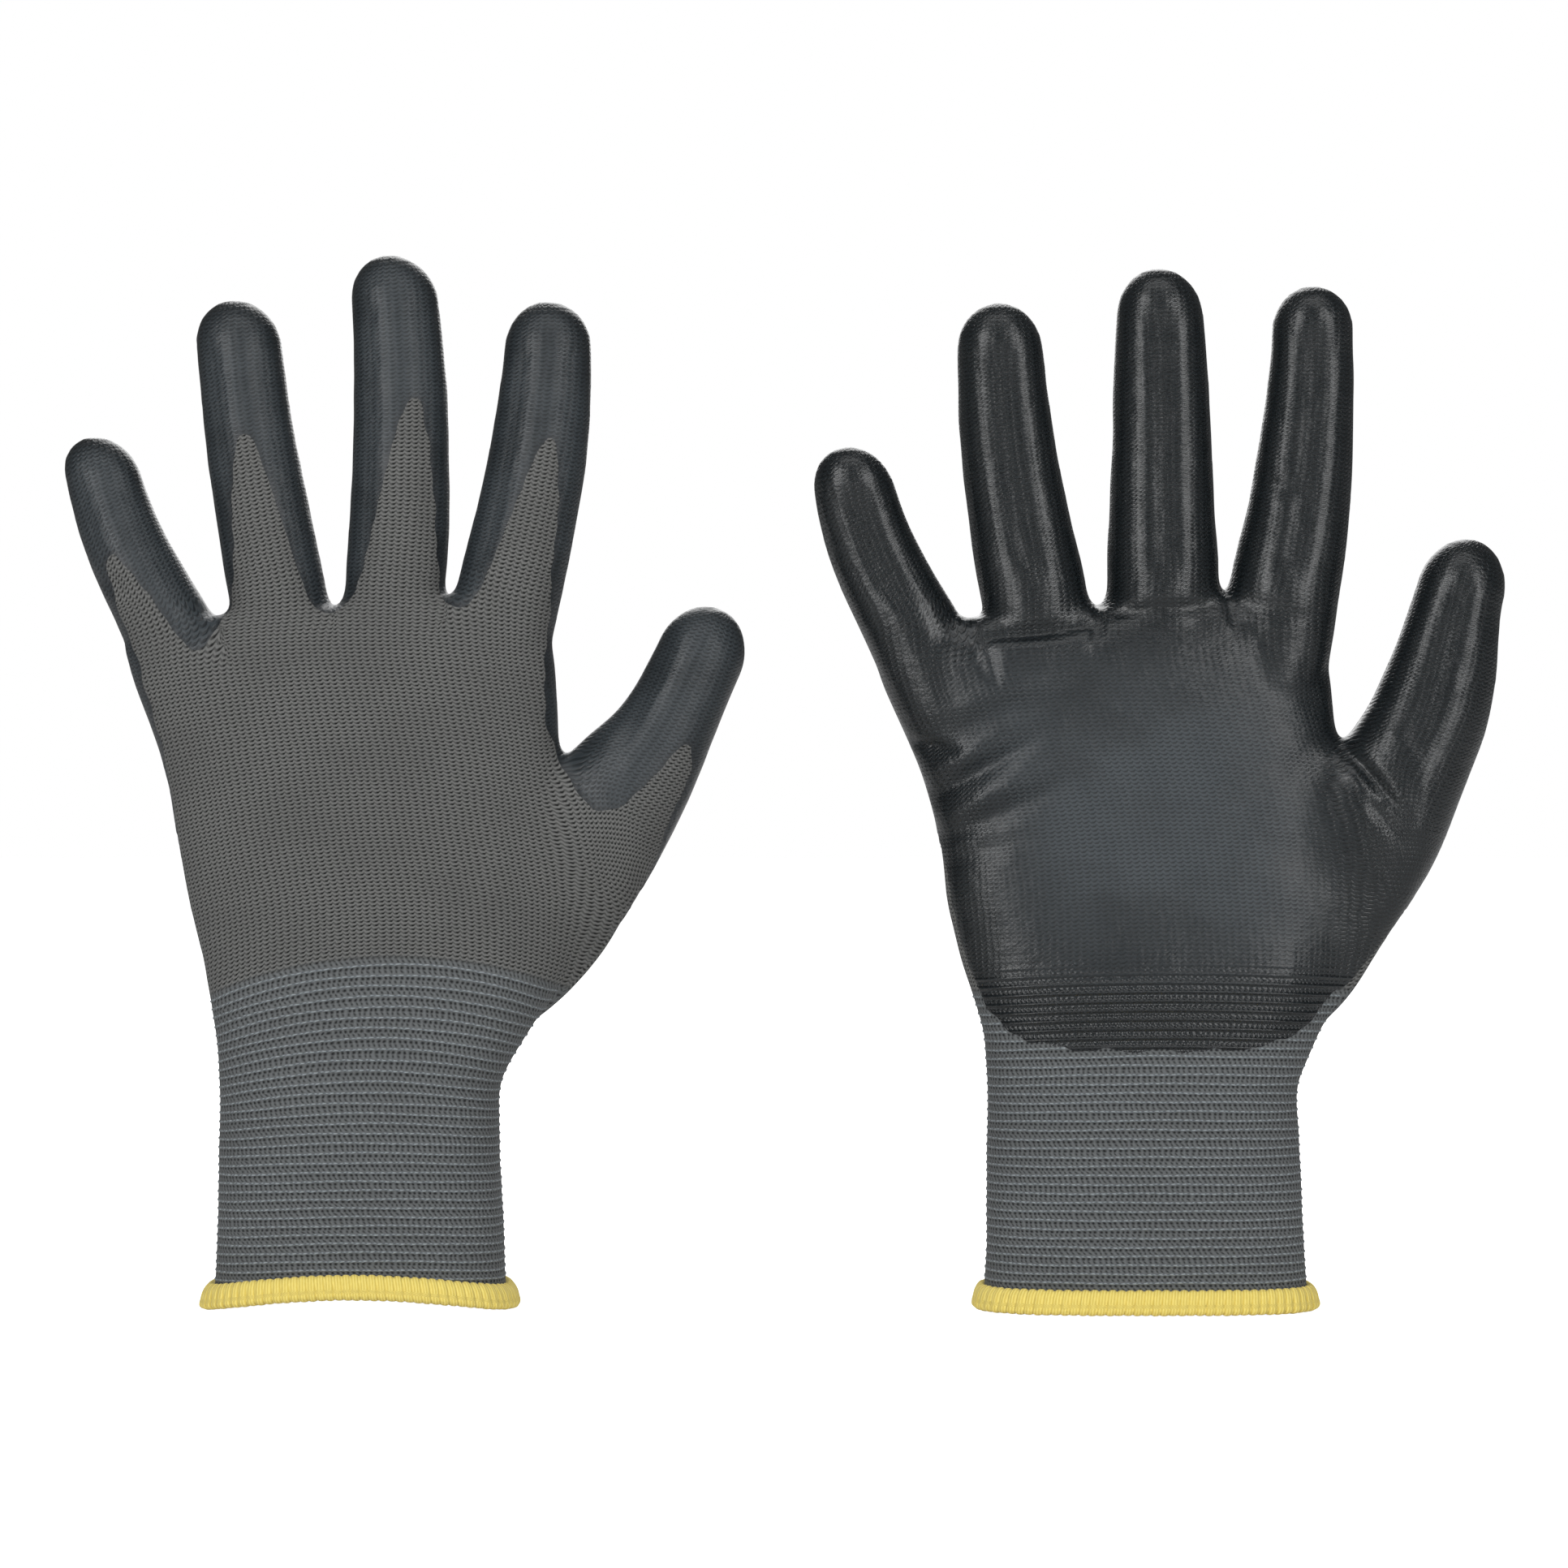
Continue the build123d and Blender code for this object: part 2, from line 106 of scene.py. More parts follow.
# Fingers: root middle and height, tip middle and height, bow, width at the root and at the end.
FINGERS = {
    "left": {
        "index": (34.6, 167, 42.7, 229.8, 2.2, 24, 18.6),
        "middle": (8, 167, 6.5, 240.4, 1.8, 22.8, 19.2),
        "ring": (-19.4, 167, -29.1, 230, -1, 22, 18.4),
        "little": (-46.2, 160, -61.2, 198.7, -1.9, 21.8, 16.4),
    },
    "right": {
        "index": (33, 167, 38.3, 232, 1.8, 24.6, 17.2),
        "middle": (4.7, 167, 3.4, 236.3, 0.3, 24.8, 19),
        "ring": (-25.3, 167, -32.7, 228.2, -1.7, 24, 18.6),
        "little": (-54.8, 160, -66.9, 195.7, -2.2, 23.4, 17.2),
    },
}
FINGER_DROP = 26.0
FINGER_RATIO = 0.88
# Thumb: foot and tip of its axis, then distance up the axis, shift, half width, half thickness.
THUMB_AXIS = {"left": ((42, 75), (80.4, 160)), "right": ((45.5, 75), (75, 175))}
THUMB = {
    "left": (
        (-16, -4.2, 2.5, 3), (-8, -1.8, 4.8, 5), (0, 0, 6.5, 6), (10, 0, 9.4, 9), (20, -0.5, 11.4, 11.2),
        (30, -1.9, 13.6, 12.5), (41, -3.4, 16, 13), (52, -1.1, 14, 11.5), (61, 1.2, 11.2, 10.5),
        (69, 1.9, 10.2, 9.8), (81, 1.9, 9.7, 9.4),
    ),
    "right": (
        (-16, -8, 2.5, 3), (-8, -4.6, 4.8, 5), (0, -2.8, 6.6, 6), (10, -3, 9.4, 9), (20, -2.3, 11.9, 11.2),
        (30, -2.8, 14.6, 12.5), (39, -3, 16, 13), (50, -0.8, 14.8, 12), (62, 1.6, 13, 11),
        (76, 1.9, 11.4, 10.2), (92, 0.6, 9.4, 9.4),
    ),
}
THUMB_DEPTH = 3.0
# The crease between thumb and palm: from the crotch down to the heel of the hand.
THUMB_LINE = {"left": ((46, 127), (60, 90)), "right": ((45.4, 127.6), (60, 90))}
THUMB_LEAN = 0.125
# The webs between the fingers, from little to index.
CROTCHES = {
    "left": ((-31.9, 156.3), (-5.9, 162.4), (20.9, 162.4)),
    "right": ((-37, 152.8), (-9.8, 160), (19.3, 163.3)),
}
# Half lengths of the stretch over which each joint bends the fabric.
BASE_BEND = 8.5
TIP_BEND = 9.5
LITTLE_TIP_BEND = 7.5
THUMB_ROOT_BEND = 12.5
THUMB_TIP_BEND = 9.0

# Bare knit on the back: for each finger the height of the tongue's end, its sideways place, and how far
# its two edges stand from the finger's middle at the root.
TONGUES = {
    "left": {
        "little": (172, -3.6, -8.6, 1), "ring": (200.5, -0.3, -8.6, 6.2),
        "middle": (208.5, 4, -7, 9.8), "index": (199, 2.9, -5, 9.2),
    },
    "right": {
        "little": (169, -3.6, -8.6, 1), "ring": (198.5, -0.3, -8.6, 6.2),
        "middle": (205.5, 3, -7.5, 9), "index": (201.5, 2.5, -5, 9.6),
    },
}
# Lowest point of the dip in each web between two fingers.
DIPS = {
    "left": ((-35.5, 148.6), (-6.8, 157.2), (22.7, 158.6)),
    "right": ((-40, 145.6), (-10.6, 155), (21.2, 159)),
}
# Bare knit round the thumb: down the palm's edge, under the crotch, up to the tongue's end and back down.
THUMB_EDGE = {
    "left": (
        (43.2, 161), (42.1, 154), (41.5, 136), (43.2, 129), (46.4, 122), (50.6, 115.3), (55.4, 112.2),
        (60, 113.6), (66, 119), (71.6, 125.5), (75.6, 129.5), (75, 121), (71.3, 113.8), (68.1, 106),
        (67, 99), (76, 90), (76, 50),
    ),
    "right": (
        (41.6, 161), (40.6, 154), (40.6, 136), (42.4, 129), (45.6, 122.6), (49.6, 116), (54, 113),
        (58, 114.6), (63, 121), (68.6, 131), (73.4, 139.5), (76.6, 134), (76, 125), (72.6, 113), (70, 104),
        (76, 92), (76, 50),
    ),
}
# Lower edge of the dip on the palm: its height in the middle, and its rise this far out to either side.
COAT_LOW = 59.6
COAT_RISE = 3.4
COAT_REACH = 31.0
COAT_MIDDLE = 2.0
# Where the dip ends on the back, and how far it stops short of the outline of the bare knit.
BACK_LOW = 84.0
KNIT_MARGIN = 0.5

# Arch of the courses: height, and how much higher they run in the middle of the hand than at its edges.
# The middle of the arch lies a little towards the thumb.
ARCH = {
    "left": (
        (0, 2.6), (8, 1.4), (32, 1.2), (45, 2.6), (57, 5.2), (73, 8), (100, 6.5), (130, 4.5), (160, 3),
    ),
    "right": ((0, 0.2), (30, 0.3), (73, 1.6), (100, 3), (130, 3), (160, 3)),
}
ARCH_SHIFT = 3.0
# The thumb's own wales and courses are counted from here.
THUMB_WALES, THUMB_COURSES = 62.0, 70.0

# Creases and folds: palm side or back, from and to (u, z), depth (below 0 sinks) and width.
FOLDS = {
    "left": (
        (-1, (48, 124), (57, 107), -0.5, 2.2), (-1, (-58, 166.5), (-52, 163), -0.8, 1.5),
        (-1, (58, 104), (52, 88), -0.4, 3), (-1, (8, 106), (3, 79), 0.5, 1.8),
        (-1, (22, 106), (18, 79), 0.5, 1.8), (-1, (34, 107), (25, 80), 0.5, 2),
        (-1, (-14, 102), (-13, 79), 0.35, 2), (1, (46, 126.5), (58, 112), -1.3, 1.5),
        (1, (-46.5, 118), (-25, 128.5), -0.9, 1.9), (1, (-44, 108), (-20, 119), -0.6, 2.2),
        (1, (-36, 153.5), (-12, 156.5), -0.9, 1.1), (1, (-9, 159.5), (17, 160.5), -0.6, 1.2),
    ),
    "right": (
        (1, (45.5, 127.5), (58.5, 112), -2.2, 1.3), (1, (48, 119.5), (57, 107.5), -1.3, 1.2),
        (1, (52, 122), (60, 110), 0.9, 1.5), (1, (46.5, 122.5), (52.5, 114), 0.8, 1.2),
        (1, (-53.5, 129.5), (-43, 127), -1.6, 1), (1, (-49, 116), (-25, 130), -1.7, 1.5),
        (1, (-48, 122), (-34, 129), 1.1, 1.5), (1, (-47, 107), (-19, 119.5), -1.2, 1.9),
        (1, (-44.5, 111.5), (-25, 122.5), 0.9, 1.7), (1, (-44, 102), (-27, 108), -0.6, 1.8),
        (1, (-42, 132.5), (-16, 141.5), -0.8, 1.7), (1, (-43, 136.5), (-24, 143.5), 0.5, 1.7),
        (1, (-36.8, 152.4), (-12.5, 155.8), -1.6, 0.9), (1, (-9.7, 158), (18, 160.2), -1.2, 1),
        (1, (-32, 149.5), (-14, 151.5), 0.5, 1.2), (1, (-9.8, 160), (-11.5, 150), -1, 1),
        (1, (-37, 152.5), (-34, 143), -0.9, 1.1), (1, (19.3, 163), (21, 153), -0.8, 1),
        (1, (20.5, 161), (36, 157), -0.6, 1.4), (1, (26, 189), (36, 184.5), -0.7, 1.4),
        (1, (36, 150), (40, 132), -0.7, 2.6), (-1, (48, 124), (57, 107), -0.5, 2.2),
    ),
}

# The elastic yarn and the hem roll: points round the cuff and round their own section.
ELASTIC_AROUND, ELASTIC_SECTION = 330, 6
YARN_RADIUS = 0.22
HEM_RIBS = 92
HEM_STEPS = 9
HEM_SECTION = 26
HEM_HEIGHT = 5.4
HEM_PROUD = {"left": 2.7, "right": 2.4}
HEM_LIFT = {"left": 4.0, "right": 0.3}
# The skin starts this far above the hem's lower edge.
SKIN_START = 1.6


# ---- shapes, in glove axes and millimetres

def smooth_step(low, high, value):
    t = np.clip((value - low) / (high - low), 0.0, 1.0)
    return t * t * (3.0 - 2.0 * t)


def bell(value, width):
    return np.exp(-0.5 * (value / width) ** 2)


def lerp(first, second, share):
    return first * (1 - share) + second * share


def smooth_rows(rows, heights, spread=3.0):
    """Columns of a table at these heights, rounded over spread millimetres."""
    rows = np.array(rows, float)
    pad = 30
    fine = np.arange(rows[0, 0] - 15, rows[-1, 0] + 15, 0.5)
    kernel = bell(np.arange(-pad, pad + 1) * 0.5, spread)
    kernel /= kernel.sum()
    columns = []
    for column in rows.T[1:]:
        values = np.pad(np.interp(fine, rows[:, 0], column), pad, mode="edge")
        columns.append(np.interp(heights, fine, np.convolve(values, kernel, mode="valid")))
    return columns


def palm_span(side, z):
    heights, middles, halves, _ = np.array(PALM[side], float).T
    return np.interp(z, heights, middles), np.interp(z, heights, halves)


def finger_middle(spec, z):
    u0, z0, u1, z1, bow = spec[:5]
    t = (z - z0) / (z1 - z0)
    return np.where(t > 0, u0 + (u1 - u0) * t + 4 * bow * t * (1 - t), u0 + (u1 - u0 + 4 * bow) * t * 0.8)


def finger_depth(spec, z):
    t = np.clip((z - spec[1]) / (spec[3] - spec[1]), 0, None)
    return 0.8 + 4.0 * t * t


def finger_half(spec, z):
    t = np.clip((z - spec[1]) / (spec[3] - spec[1] - spec[6] / 2), 0, 1)
    return (spec[5] + (spec[6] - spec[5]) * t) / 2


def thumb_axis(side):
    """The axis's foot, its direction and its length."""
    (u0, z0), (u1, z1) = THUMB_AXIS[side]
    length = math.hypot(u1 - u0, z1 - z0)
    return u0, z0, (u1 - u0) / length, (z1 - z0) / length, length


def thumb_coordinates(side, u, z):
    """Distance up the thumb's axis and sideways from it."""
    u0, z0, su, sz, _ = thumb_axis(side)
    return (u - u0) * su + (z - z0) * sz, (u - u0) * sz - (z - z0) * su


def full_turn(points):
    return np.linspace(0, 2 * math.pi, points, endpoint=False)


def oval(half_width, half_thickness, power, angle):
    c, s = np.cos(angle), np.sin(angle)
    x = half_width * np.sign(c) * np.abs(c) ** (2 / power)
    y = half_thickness * np.sign(s) * np.abs(s) ** (2 / power)
    return x, y


def palm_rings(side, points=120):
    heights = np.arange(-4.0, 161.0, 1.5)
    middle, half, thick = smooth_rows(PALM[side], np.clip(heights, 0, None), 2.5)
    rings = []
    for z, m, a, b in zip(heights, middle, half, thick):
        x, y = oval(a, b, PALM_POWER, full_turn(points))
        tilt = PALM_TILT * smooth_step(148, 157, z)
        rings.append(np.stack([m + x, y, z + tilt * x], 1))
    return np.array(rings)


def rounded_tube(low, start, top):
    """Heights up a tube and the scale of its section at each; from start to top it is an ellipsoid."""
    steps = np.sin(np.linspace(0, math.pi / 2, 12))[1:]
    steps[-1] = 0.998
    body = np.arange(low, start, 2.0)
    heights = np.concatenate([body, start + (top - start) * steps])
    return heights, np.concatenate([np.ones(len(body)), np.sqrt(1 - steps ** 2)])


def finger_rings(spec, points=64):
    start = spec[3] - spec[6] / 2 - 1.0
    rings = []
    for z, scale in zip(*rounded_tube(spec[1] - FINGER_DROP, start, spec[3])):
        half = finger_half(spec, min(z, start))
        x, y = oval(half * scale, half * FINGER_RATIO * scale, FINGER_POWER, full_turn(points))
        x, y = finger_middle(spec, z) + x, finger_depth(spec, z) + y
        rings.append(np.stack([x, y, np.full(points, z)], 1))
    return np.array(rings)


def thumb_rings(side, points=72):
    u0, z0, su, sz, length = thumb_axis(side)
    start = THUMB[side][-1][0]
    heights, scales = rounded_tube(THUMB[side][0][0], start, length)
    shift, half, thick = smooth_rows(THUMB[side], np.minimum(heights, start), 3.0)
    rings = []
    for h, c, a, b, scale in zip(heights, shift, half, thick, scales):
        x, y = oval(a * scale, b * scale, THUMB_POWER, full_turn(points))
        rings.append(np.stack([u0 + su * h + sz * (c + x), THUMB_DEPTH + y, z0 + sz * h - su * (c + x)], 1))
    return np.array(rings)


def add_object(name, data):
    added = bpy.data.objects.new(name, data)
    bpy.context.scene.collection.objects.link(added)
    return added


def tube_faces(rows, around, first):
    """Quads between the rings of a tube, and a face over either end."""
    faces = []
    for row in range(rows - 1):
        for k in range(around):
            a, b = first + row * around + k, first + row * around + (k + 1) % around
            faces.append((a, b, b + around, a + around))
    faces.append(tuple(first + k for k in range(around - 1, -1, -1)))
    faces.append(tuple(first + (rows - 1) * around + k for k in range(around)))
    return faces


def merged_skin(side):
    """One closed skin of palm, fingers and thumb, as points and triangles."""
    points, faces, first = [], [], 0
    tubes = [palm_rings(side), thumb_rings(side)] + [finger_rings(spec) for spec in FINGERS[side].values()]
    for rings in tubes:
        rows, around = rings.shape[:2]
        points.append(rings.reshape(-1, 3))
        faces += tube_faces(rows, around, first)
        first += rows * around
    mesh = bpy.data.meshes.new("raw")
    mesh.from_pydata(np.concatenate(points).tolist(), [], faces)
    raw = add_object("raw", mesh)
    remesh = raw.modifiers.new("remesh", "REMESH")
    remesh.mode = "VOXEL"
    remesh.voxel_size = VOXEL
    final = bpy.data.meshes.new_from_object(raw.evaluated_get(bpy.context.evaluated_depsgraph_get()))
    co = np.empty(len(final.vertices) * 3)
    final.vertices.foreach_get("co", co)
    quads = np.empty(len(final.loops), int)
    final.loops.foreach_get("vertex_index", quads)
    quads = quads.reshape(-1, 4)
    bpy.data.objects.remove(raw)
    bpy.data.meshes.remove(final)
    tris = np.concatenate([quads[:, [0, 1, 2]], quads[:, [0, 2, 3]]])
    return co.reshape(-1, 3), tris


def triangle_edges(tris):
    return np.concatenate([tris[:, [0, 1]], tris[:, [1, 2]], tris[:, [2, 0]]])


def neighbours(tris, count):
    """Each edge both ways, and how many edges meet at each point."""
    edges = np.unique(np.sort(triangle_edges(tris), 1), axis=0)
    both = np.concatenate([edges, edges[:, ::-1]])
    return both, np.bincount(both[:, 0], minlength=count)


def averaged(values, links, degree):
    """The mean of each point's neighbours."""
    mean = np.empty_like(values)
    for column in range(values.shape[1]):
        mean[:, column] = np.bincount(links[:, 0], values[links[:, 1], column], len(values)) / degree
    return mean


def relax(co, tris, side):
    """Smooths the whole skin without shrinking it, rounds the webs and evens out the thumb's foot."""
    links, degree = neighbours(tris, len(co))
    for _ in range(SKIN_PASSES):
        for step in SKIN_STEPS:
            co = co + step * (averaged(co, links, degree) - co)
    (ua, za), (ub, zb) = THUMB_LINE[side]
    spots = list(CROTCHES[side])
    spots += [(ua + (ub - ua) * k, za + (zb - za) * k) for k in (0.0, 0.3, 0.6, 0.9)]
    near = np.zeros(len(co))
    for u, z in spots:
        off = (co[:, 0] - u) ** 2 + (co[:, 2] - z) ** 2
        near = np.maximum(near, np.exp(-0.5 * off / WEB_RADIUS ** 2))
    for _ in range(WEB_PASSES):
        co = co + (0.5 * near)[:, None] * (averaged(co, links, degree) - co)
    distance, _ = segment_distance(co[:, 0], co[:, 2], *FOOT_LINE)
    blended = 0.5 * smooth_step(15.0, 5.0, distance)
    for _ in range(FOOT_PASSES):
        co[:, 1] += blended * (averaged(co[:, 1:2], links, degree)[:, 0] - co[:, 1])
    return co


def point_normals(co, tris):
    a, b, c = co[tris[:, 0]], co[tris[:, 1]], co[tris[:, 2]]
    face = np.cross(b - a, c - a)
    normals = np.zeros_like(co)
    for corner in range(3):
        for axis in range(3):
            normals[:, axis] += np.bincount(tris[:, corner], face[:, axis], len(co))
    return normals / np.linalg.norm(normals, axis=1)[:, None]


def segment_distance(u, z, start, end):
    """Distance to a segment, and how far along it from 0 to 1."""
    du, dz = end[0] - start[0], end[1] - start[1]
    t = np.clip(((u - start[0]) * du + (z - start[1]) * dz) / (du * du + dz * dz), 0, 1)
    return np.hypot(u - start[0] - du * t, z - start[1] - dz * t), t


def finger_bounds(side, z):
    """Sideways places of the gaps between neighbouring fingers at this height."""
    middles = [finger_middle(FINGERS[side][name], z) for name in FINGER_NAMES]
    return [(a + b) / 2 for a, b in zip(middles, middles[1:])]


def which_finger(side, u, z):
    return sum((u > bound).astype(int) for bound in finger_bounds(side, z))


def thumb_crease(side):
    """The crease's upper end, and the direction square to it, out along the thumb."""
    (ua, za), (ub, zb) = THUMB_LINE[side]
    length = math.hypot(ub - ua, zb - za)
    return ua, za, (za - zb) / length, (ub - ua) / length


def thumb_side(side, u, z):
    """Above 0 on the thumb and below 0 on the palm, in millimetres from the crease between them."""
    ua, za, out_u, out_z = thumb_crease(side)
    low = (u - ua) * out_u + (z - za) * out_z
    high = (u - ua - 0.6 - THUMB_LEAN * (z - za)) * out_u
    return np.where(z > za, high, low)


def waves(co, seed, reach, count=14):
    """A smooth, seeded undulation of about one over the surface."""
    source = np.random.default_rng(seed)
    total = np.zeros(len(co))
    for _ in range(count):
        direction = source.normal(size=3)
        direction /= np.linalg.norm(direction)
        length = reach * source.uniform(0.7, 1.5)
        total += np.sin(co @ direction * 2 * math.pi / length + source.uniform(0, 6.28))
    return total / math.sqrt(count)


def dress(co, normals, side):
    """Valleys along the fingers, creases, and the unevenness of a worn shape."""
    u, p, z = co.T
    rise = np.zeros(len(co))
    finger = which_finger(side, u, z)
    on_thumb = thumb_side(side, u, z) > 0

    def grooves(here, depth, length, valley, ridge):
        """A valley along the palm side of a digit and ridges along its back."""
        front = smooth_step(-2.0, 3.0, depth)
        return here * length * (front * valley + (1 - front) * ridge)

    for index, name in enumerate(FINGER_NAMES):
        spec = FINGERS[side][name]
        here = (finger == index) & ~on_thumb & (z > 150)
        off = u - finger_middle(spec, z)
        length = smooth_step(spec[1] - 4, spec[1] + 6, z) * smooth_step(spec[3] - 7, spec[3] - 15, z)
        half = finger_half(spec, z)
        ridge = -0.5 * bell(off + half * 0.58, 1.5) - 0.3 * bell(off - half * 0.62, 1.5)
        rise += grooves(here, p - finger_depth(spec, z), length, -0.95 * bell(off, 2.6), ridge)
    h, off = thumb_coordinates(side, u, z)
    end = thumb_axis(side)[-1]
    length = smooth_step(46, 60, h) * smooth_step(end - 7, end - 15, h)
    valley, ridge = -1.0 * bell(off + 1.0, 2.6), -0.6 * bell(off + 5.5, 1.6)
    rise += grooves(on_thumb, p - THUMB_DEPTH, length, valley, ridge)
    for face, start, end, depth, width in FOLDS[side]:
        distance, t = segment_distance(u, z, start, end)
        wander = distance + 0.25 * np.sin(t * 9.0)
        facing = smooth_step(0.0, 4.0, face * p)
        fade = 0.25 + 0.75 * np.sin(math.pi * np.clip(t, 0.02, 0.98)) ** 0.7
        rise += depth * facing * fade * bell(wander, width)
    hollow = np.exp(-0.5 * (((u - 2) / 24) ** 2 + ((z - 112) / 26) ** 2)) * smooth_step(0.0, 6.0, p)
    rise -= 2.0 * hollow
    rise += 0.16 * waves(co, 3 if side == "left" else 4, 34.0)
    rise += 0.05 * waves(co, 5 if side == "left" else 6, 11.0)
    rise *= smooth_step(2.0, 14.0, z)
    return co + normals * rise[:, None]


# ---- what each point of the skin carries

def arch_at(side, level):
    return np.interp(level, *np.array(ARCH[side], float).T)


def arch_share(across, half):
    """How much of the arch a course has at this distance from the middle of the hand."""
    t = np.clip((across - ARCH_SHIFT) / half, -1.2, 1.2)
    return 1 - t * t


def course_height(side, u, z):
    """The height at which this point's course starts at the glove's edge."""
    middle, half, _ = smooth_rows(PALM[side], np.clip(z, 0, 160))
    level = z
    for _ in range(4):
        level = z - arch_at(side, level) * arch_share(u - middle, half)
    return level


def around_coordinate(off, depth, half, thick):
    """Distance round a flattened tube, from the middle of either face out to the edge."""
    straight = np.clip(half - thick, 0, None)
    beyond = np.abs(off) - straight
    angle = np.arctan2(np.clip(beyond, 0, None), np.abs(depth) + 0.3)
    return np.sign(off) * np.where(beyond > 0, straight + thick * angle, np.abs(off))


def knit_coordinates(side, co):
    """U in wales and V in courses: straight up the palm, and along each finger on the fingers."""
    u, p, z = co.T
    middle, half, thick = smooth_rows(PALM[side], np.clip(z, 0, 152))
    across = around_coordinate(u - middle, p, half, thick)
    level = course_height(side, u, z)
    finger = which_finger(side, u, z)
    on_thumb = thumb_side(side, u, z) > 0
    for index, name in enumerate(FINGER_NAMES):
        spec = FINGERS[side][name]
        root = spec[1] - 3.0
        centre, mid_root = finger_middle(spec, z), finger_middle(spec, root)
        half = finger_half(spec, z)
        own = mid_root - palm_span(side, root)[0]
        own = own + around_coordinate(u - centre, p - finger_depth(spec, z), half, half * FINGER_RATIO)
        slope = (finger_middle(spec, z + 1) - finger_middle(spec, z - 1)) / 2
        own_level = z + slope * (u - centre) - 3.0
        share = np.where((finger == index) & ~on_thumb, smooth_step(spec[1] - 16, spec[1] + 4, z), 0)
        across, level = lerp(across, own, share), lerp(level, own_level, share)
    h, off = thumb_coordinates(side, u, z)
    shift, half, thick = smooth_rows(THUMB[side], np.clip(h, 0, 90))
    own = THUMB_WALES + around_coordinate(off - shift, p - THUMB_DEPTH, half, thick)
    share = smooth_step(-6, 12, thumb_side(side, u, z)) * smooth_step(84, 104, z)
    across, level = lerp(across, own, share), lerp(level, h + THUMB_COURSES, share)
    return np.stack([across / WALE_PITCH, level / COURSE_PITCH], 1)


def tongue_edges(side, name):
    """Left edge going up and right edge coming down, of the bare knit on one finger's back."""
    spec = FINGERS[side][name]
    end, place, left, right = TONGUES[side][name]
    root = spec[1] - 4.0
    drop = np.array([1.0, 0.7, 0.4, 0.15])
    heights = end - (end - root) * drop
    middle = finger_middle(spec, heights)
    spread = 0.55 * drop ** 0.45 + 0.45 * drop
    up, down = (
        np.stack([middle + place + (edge - place) * spread, heights], 1) for edge in (left, right)
    )
    tip = [[float(finger_middle(spec, end)) + place, end]]
    return np.concatenate([up, tip, down[::-1]])


def knit_outline(side):
    """Closed outline, seen from the back, of the knit that the dip leaves bare."""
    outer = []
    for z, strip in ((50, -12), (96, -9), (106, -2.0), (114, 0.8), (128, 2.2), (140, 2.6), (150, 3.4)):
        middle, half = palm_span(side, z)
        outer.append((middle - half + strip, z))
    outline = [np.array(outer)]
    for name, dip in zip(FINGER_NAMES, DIPS[side] + (None,)):
        outline.append(tongue_edges(side, name))
        if dip is not None:
            outline.append(np.array([(dip[0] - 2.2, dip[1] + 0.3), (dip[0] + 2.2, dip[1] + 0.3)]))
    outline.append(np.array(THUMB_EDGE[side], float))
    points = np.concatenate(outline)
    for _ in range(2):
        after = np.roll(points, -1, axis=0)
        points = np.stack([points * 0.75 + after * 0.25, points * 0.25 + after * 0.75], 1).reshape(-1, 2)
    return points


def outside_distance(outline, u, z):
    """Signed distance to a closed outline: above 0 outside it."""
    nearest = np.full(len(u), 1e9)
    inside = np.zeros(len(u), bool)
    for start, end in zip(outline, np.roll(outline, -1, axis=0)):
        distance, _ = segment_distance(u, z, start, end)
        nearest = np.minimum(nearest, distance)
        crosses = (start[1] > z) != (end[1] > z)
        if abs(end[1] - start[1]) > 1e-9:
            inside ^= crosses & (u < (end[0] - start[0]) * (z - start[1]) / (end[1] - start[1]) + start[0])
    return np.where(inside, -nearest, nearest)


def dip_distance(side, co):
    """Millimetres inside the dipped area; below 0 the knit is bare."""
    u, p, z = co.T
    edge = COAT_LOW + COAT_RISE * np.clip(np.abs(u - COAT_MIDDLE) / COAT_REACH, 0, 1.3) ** 5
    edge += 0.35 * np.sin(u * 0.5) + 0.25 * np.sin(u * 1.3 + 1)
    front = z - edge
    back = np.minimum(outside_distance(knit_outline(side), u, z) - KNIT_MARGIN, z - BACK_LOW)
    depth = p - np.interp(z, (100, 160, 240), (0.0, 0.8, 3.0))
    low_side = smooth_step(112, 96, z)
    share = smooth_step(-1.5 + 4.5 * low_side, 2.5 + 4.5 * low_side, depth)
    wobble = 0.25 * np.sin(z * 0.9 + u * 0.6) + 0.2 * np.sin(z * 0.37 - u * 1.1)
    return lerp(back, front, share) + wobble


def palm_matt(side, co):
    """1 on the matt middle of the palm, nearly so on the back, and 0 on the glossy fingers and edges."""
    u, p, z = co.T
    middle, half, _ = smooth_rows(PALM[side], np.clip(z, 0, 152))
    inner = smooth_step(1.0, 0.35, np.abs(u - middle - 2.0) / half)
    palm = inner * smooth_step(0, 8, p) * smooth_step(160, 122, z) * smooth_step(66, 104, z)
    return np.maximum(palm, 0.75 * smooth_step(2.0, -3.0, p))


# ---- cutting and thickening

def compact(data, tris):
    """The same triangles, with only the points they use."""
    used, renumbered = np.unique(tris, return_inverse=True)
    return data[used], renumbered.reshape(-1, 3)


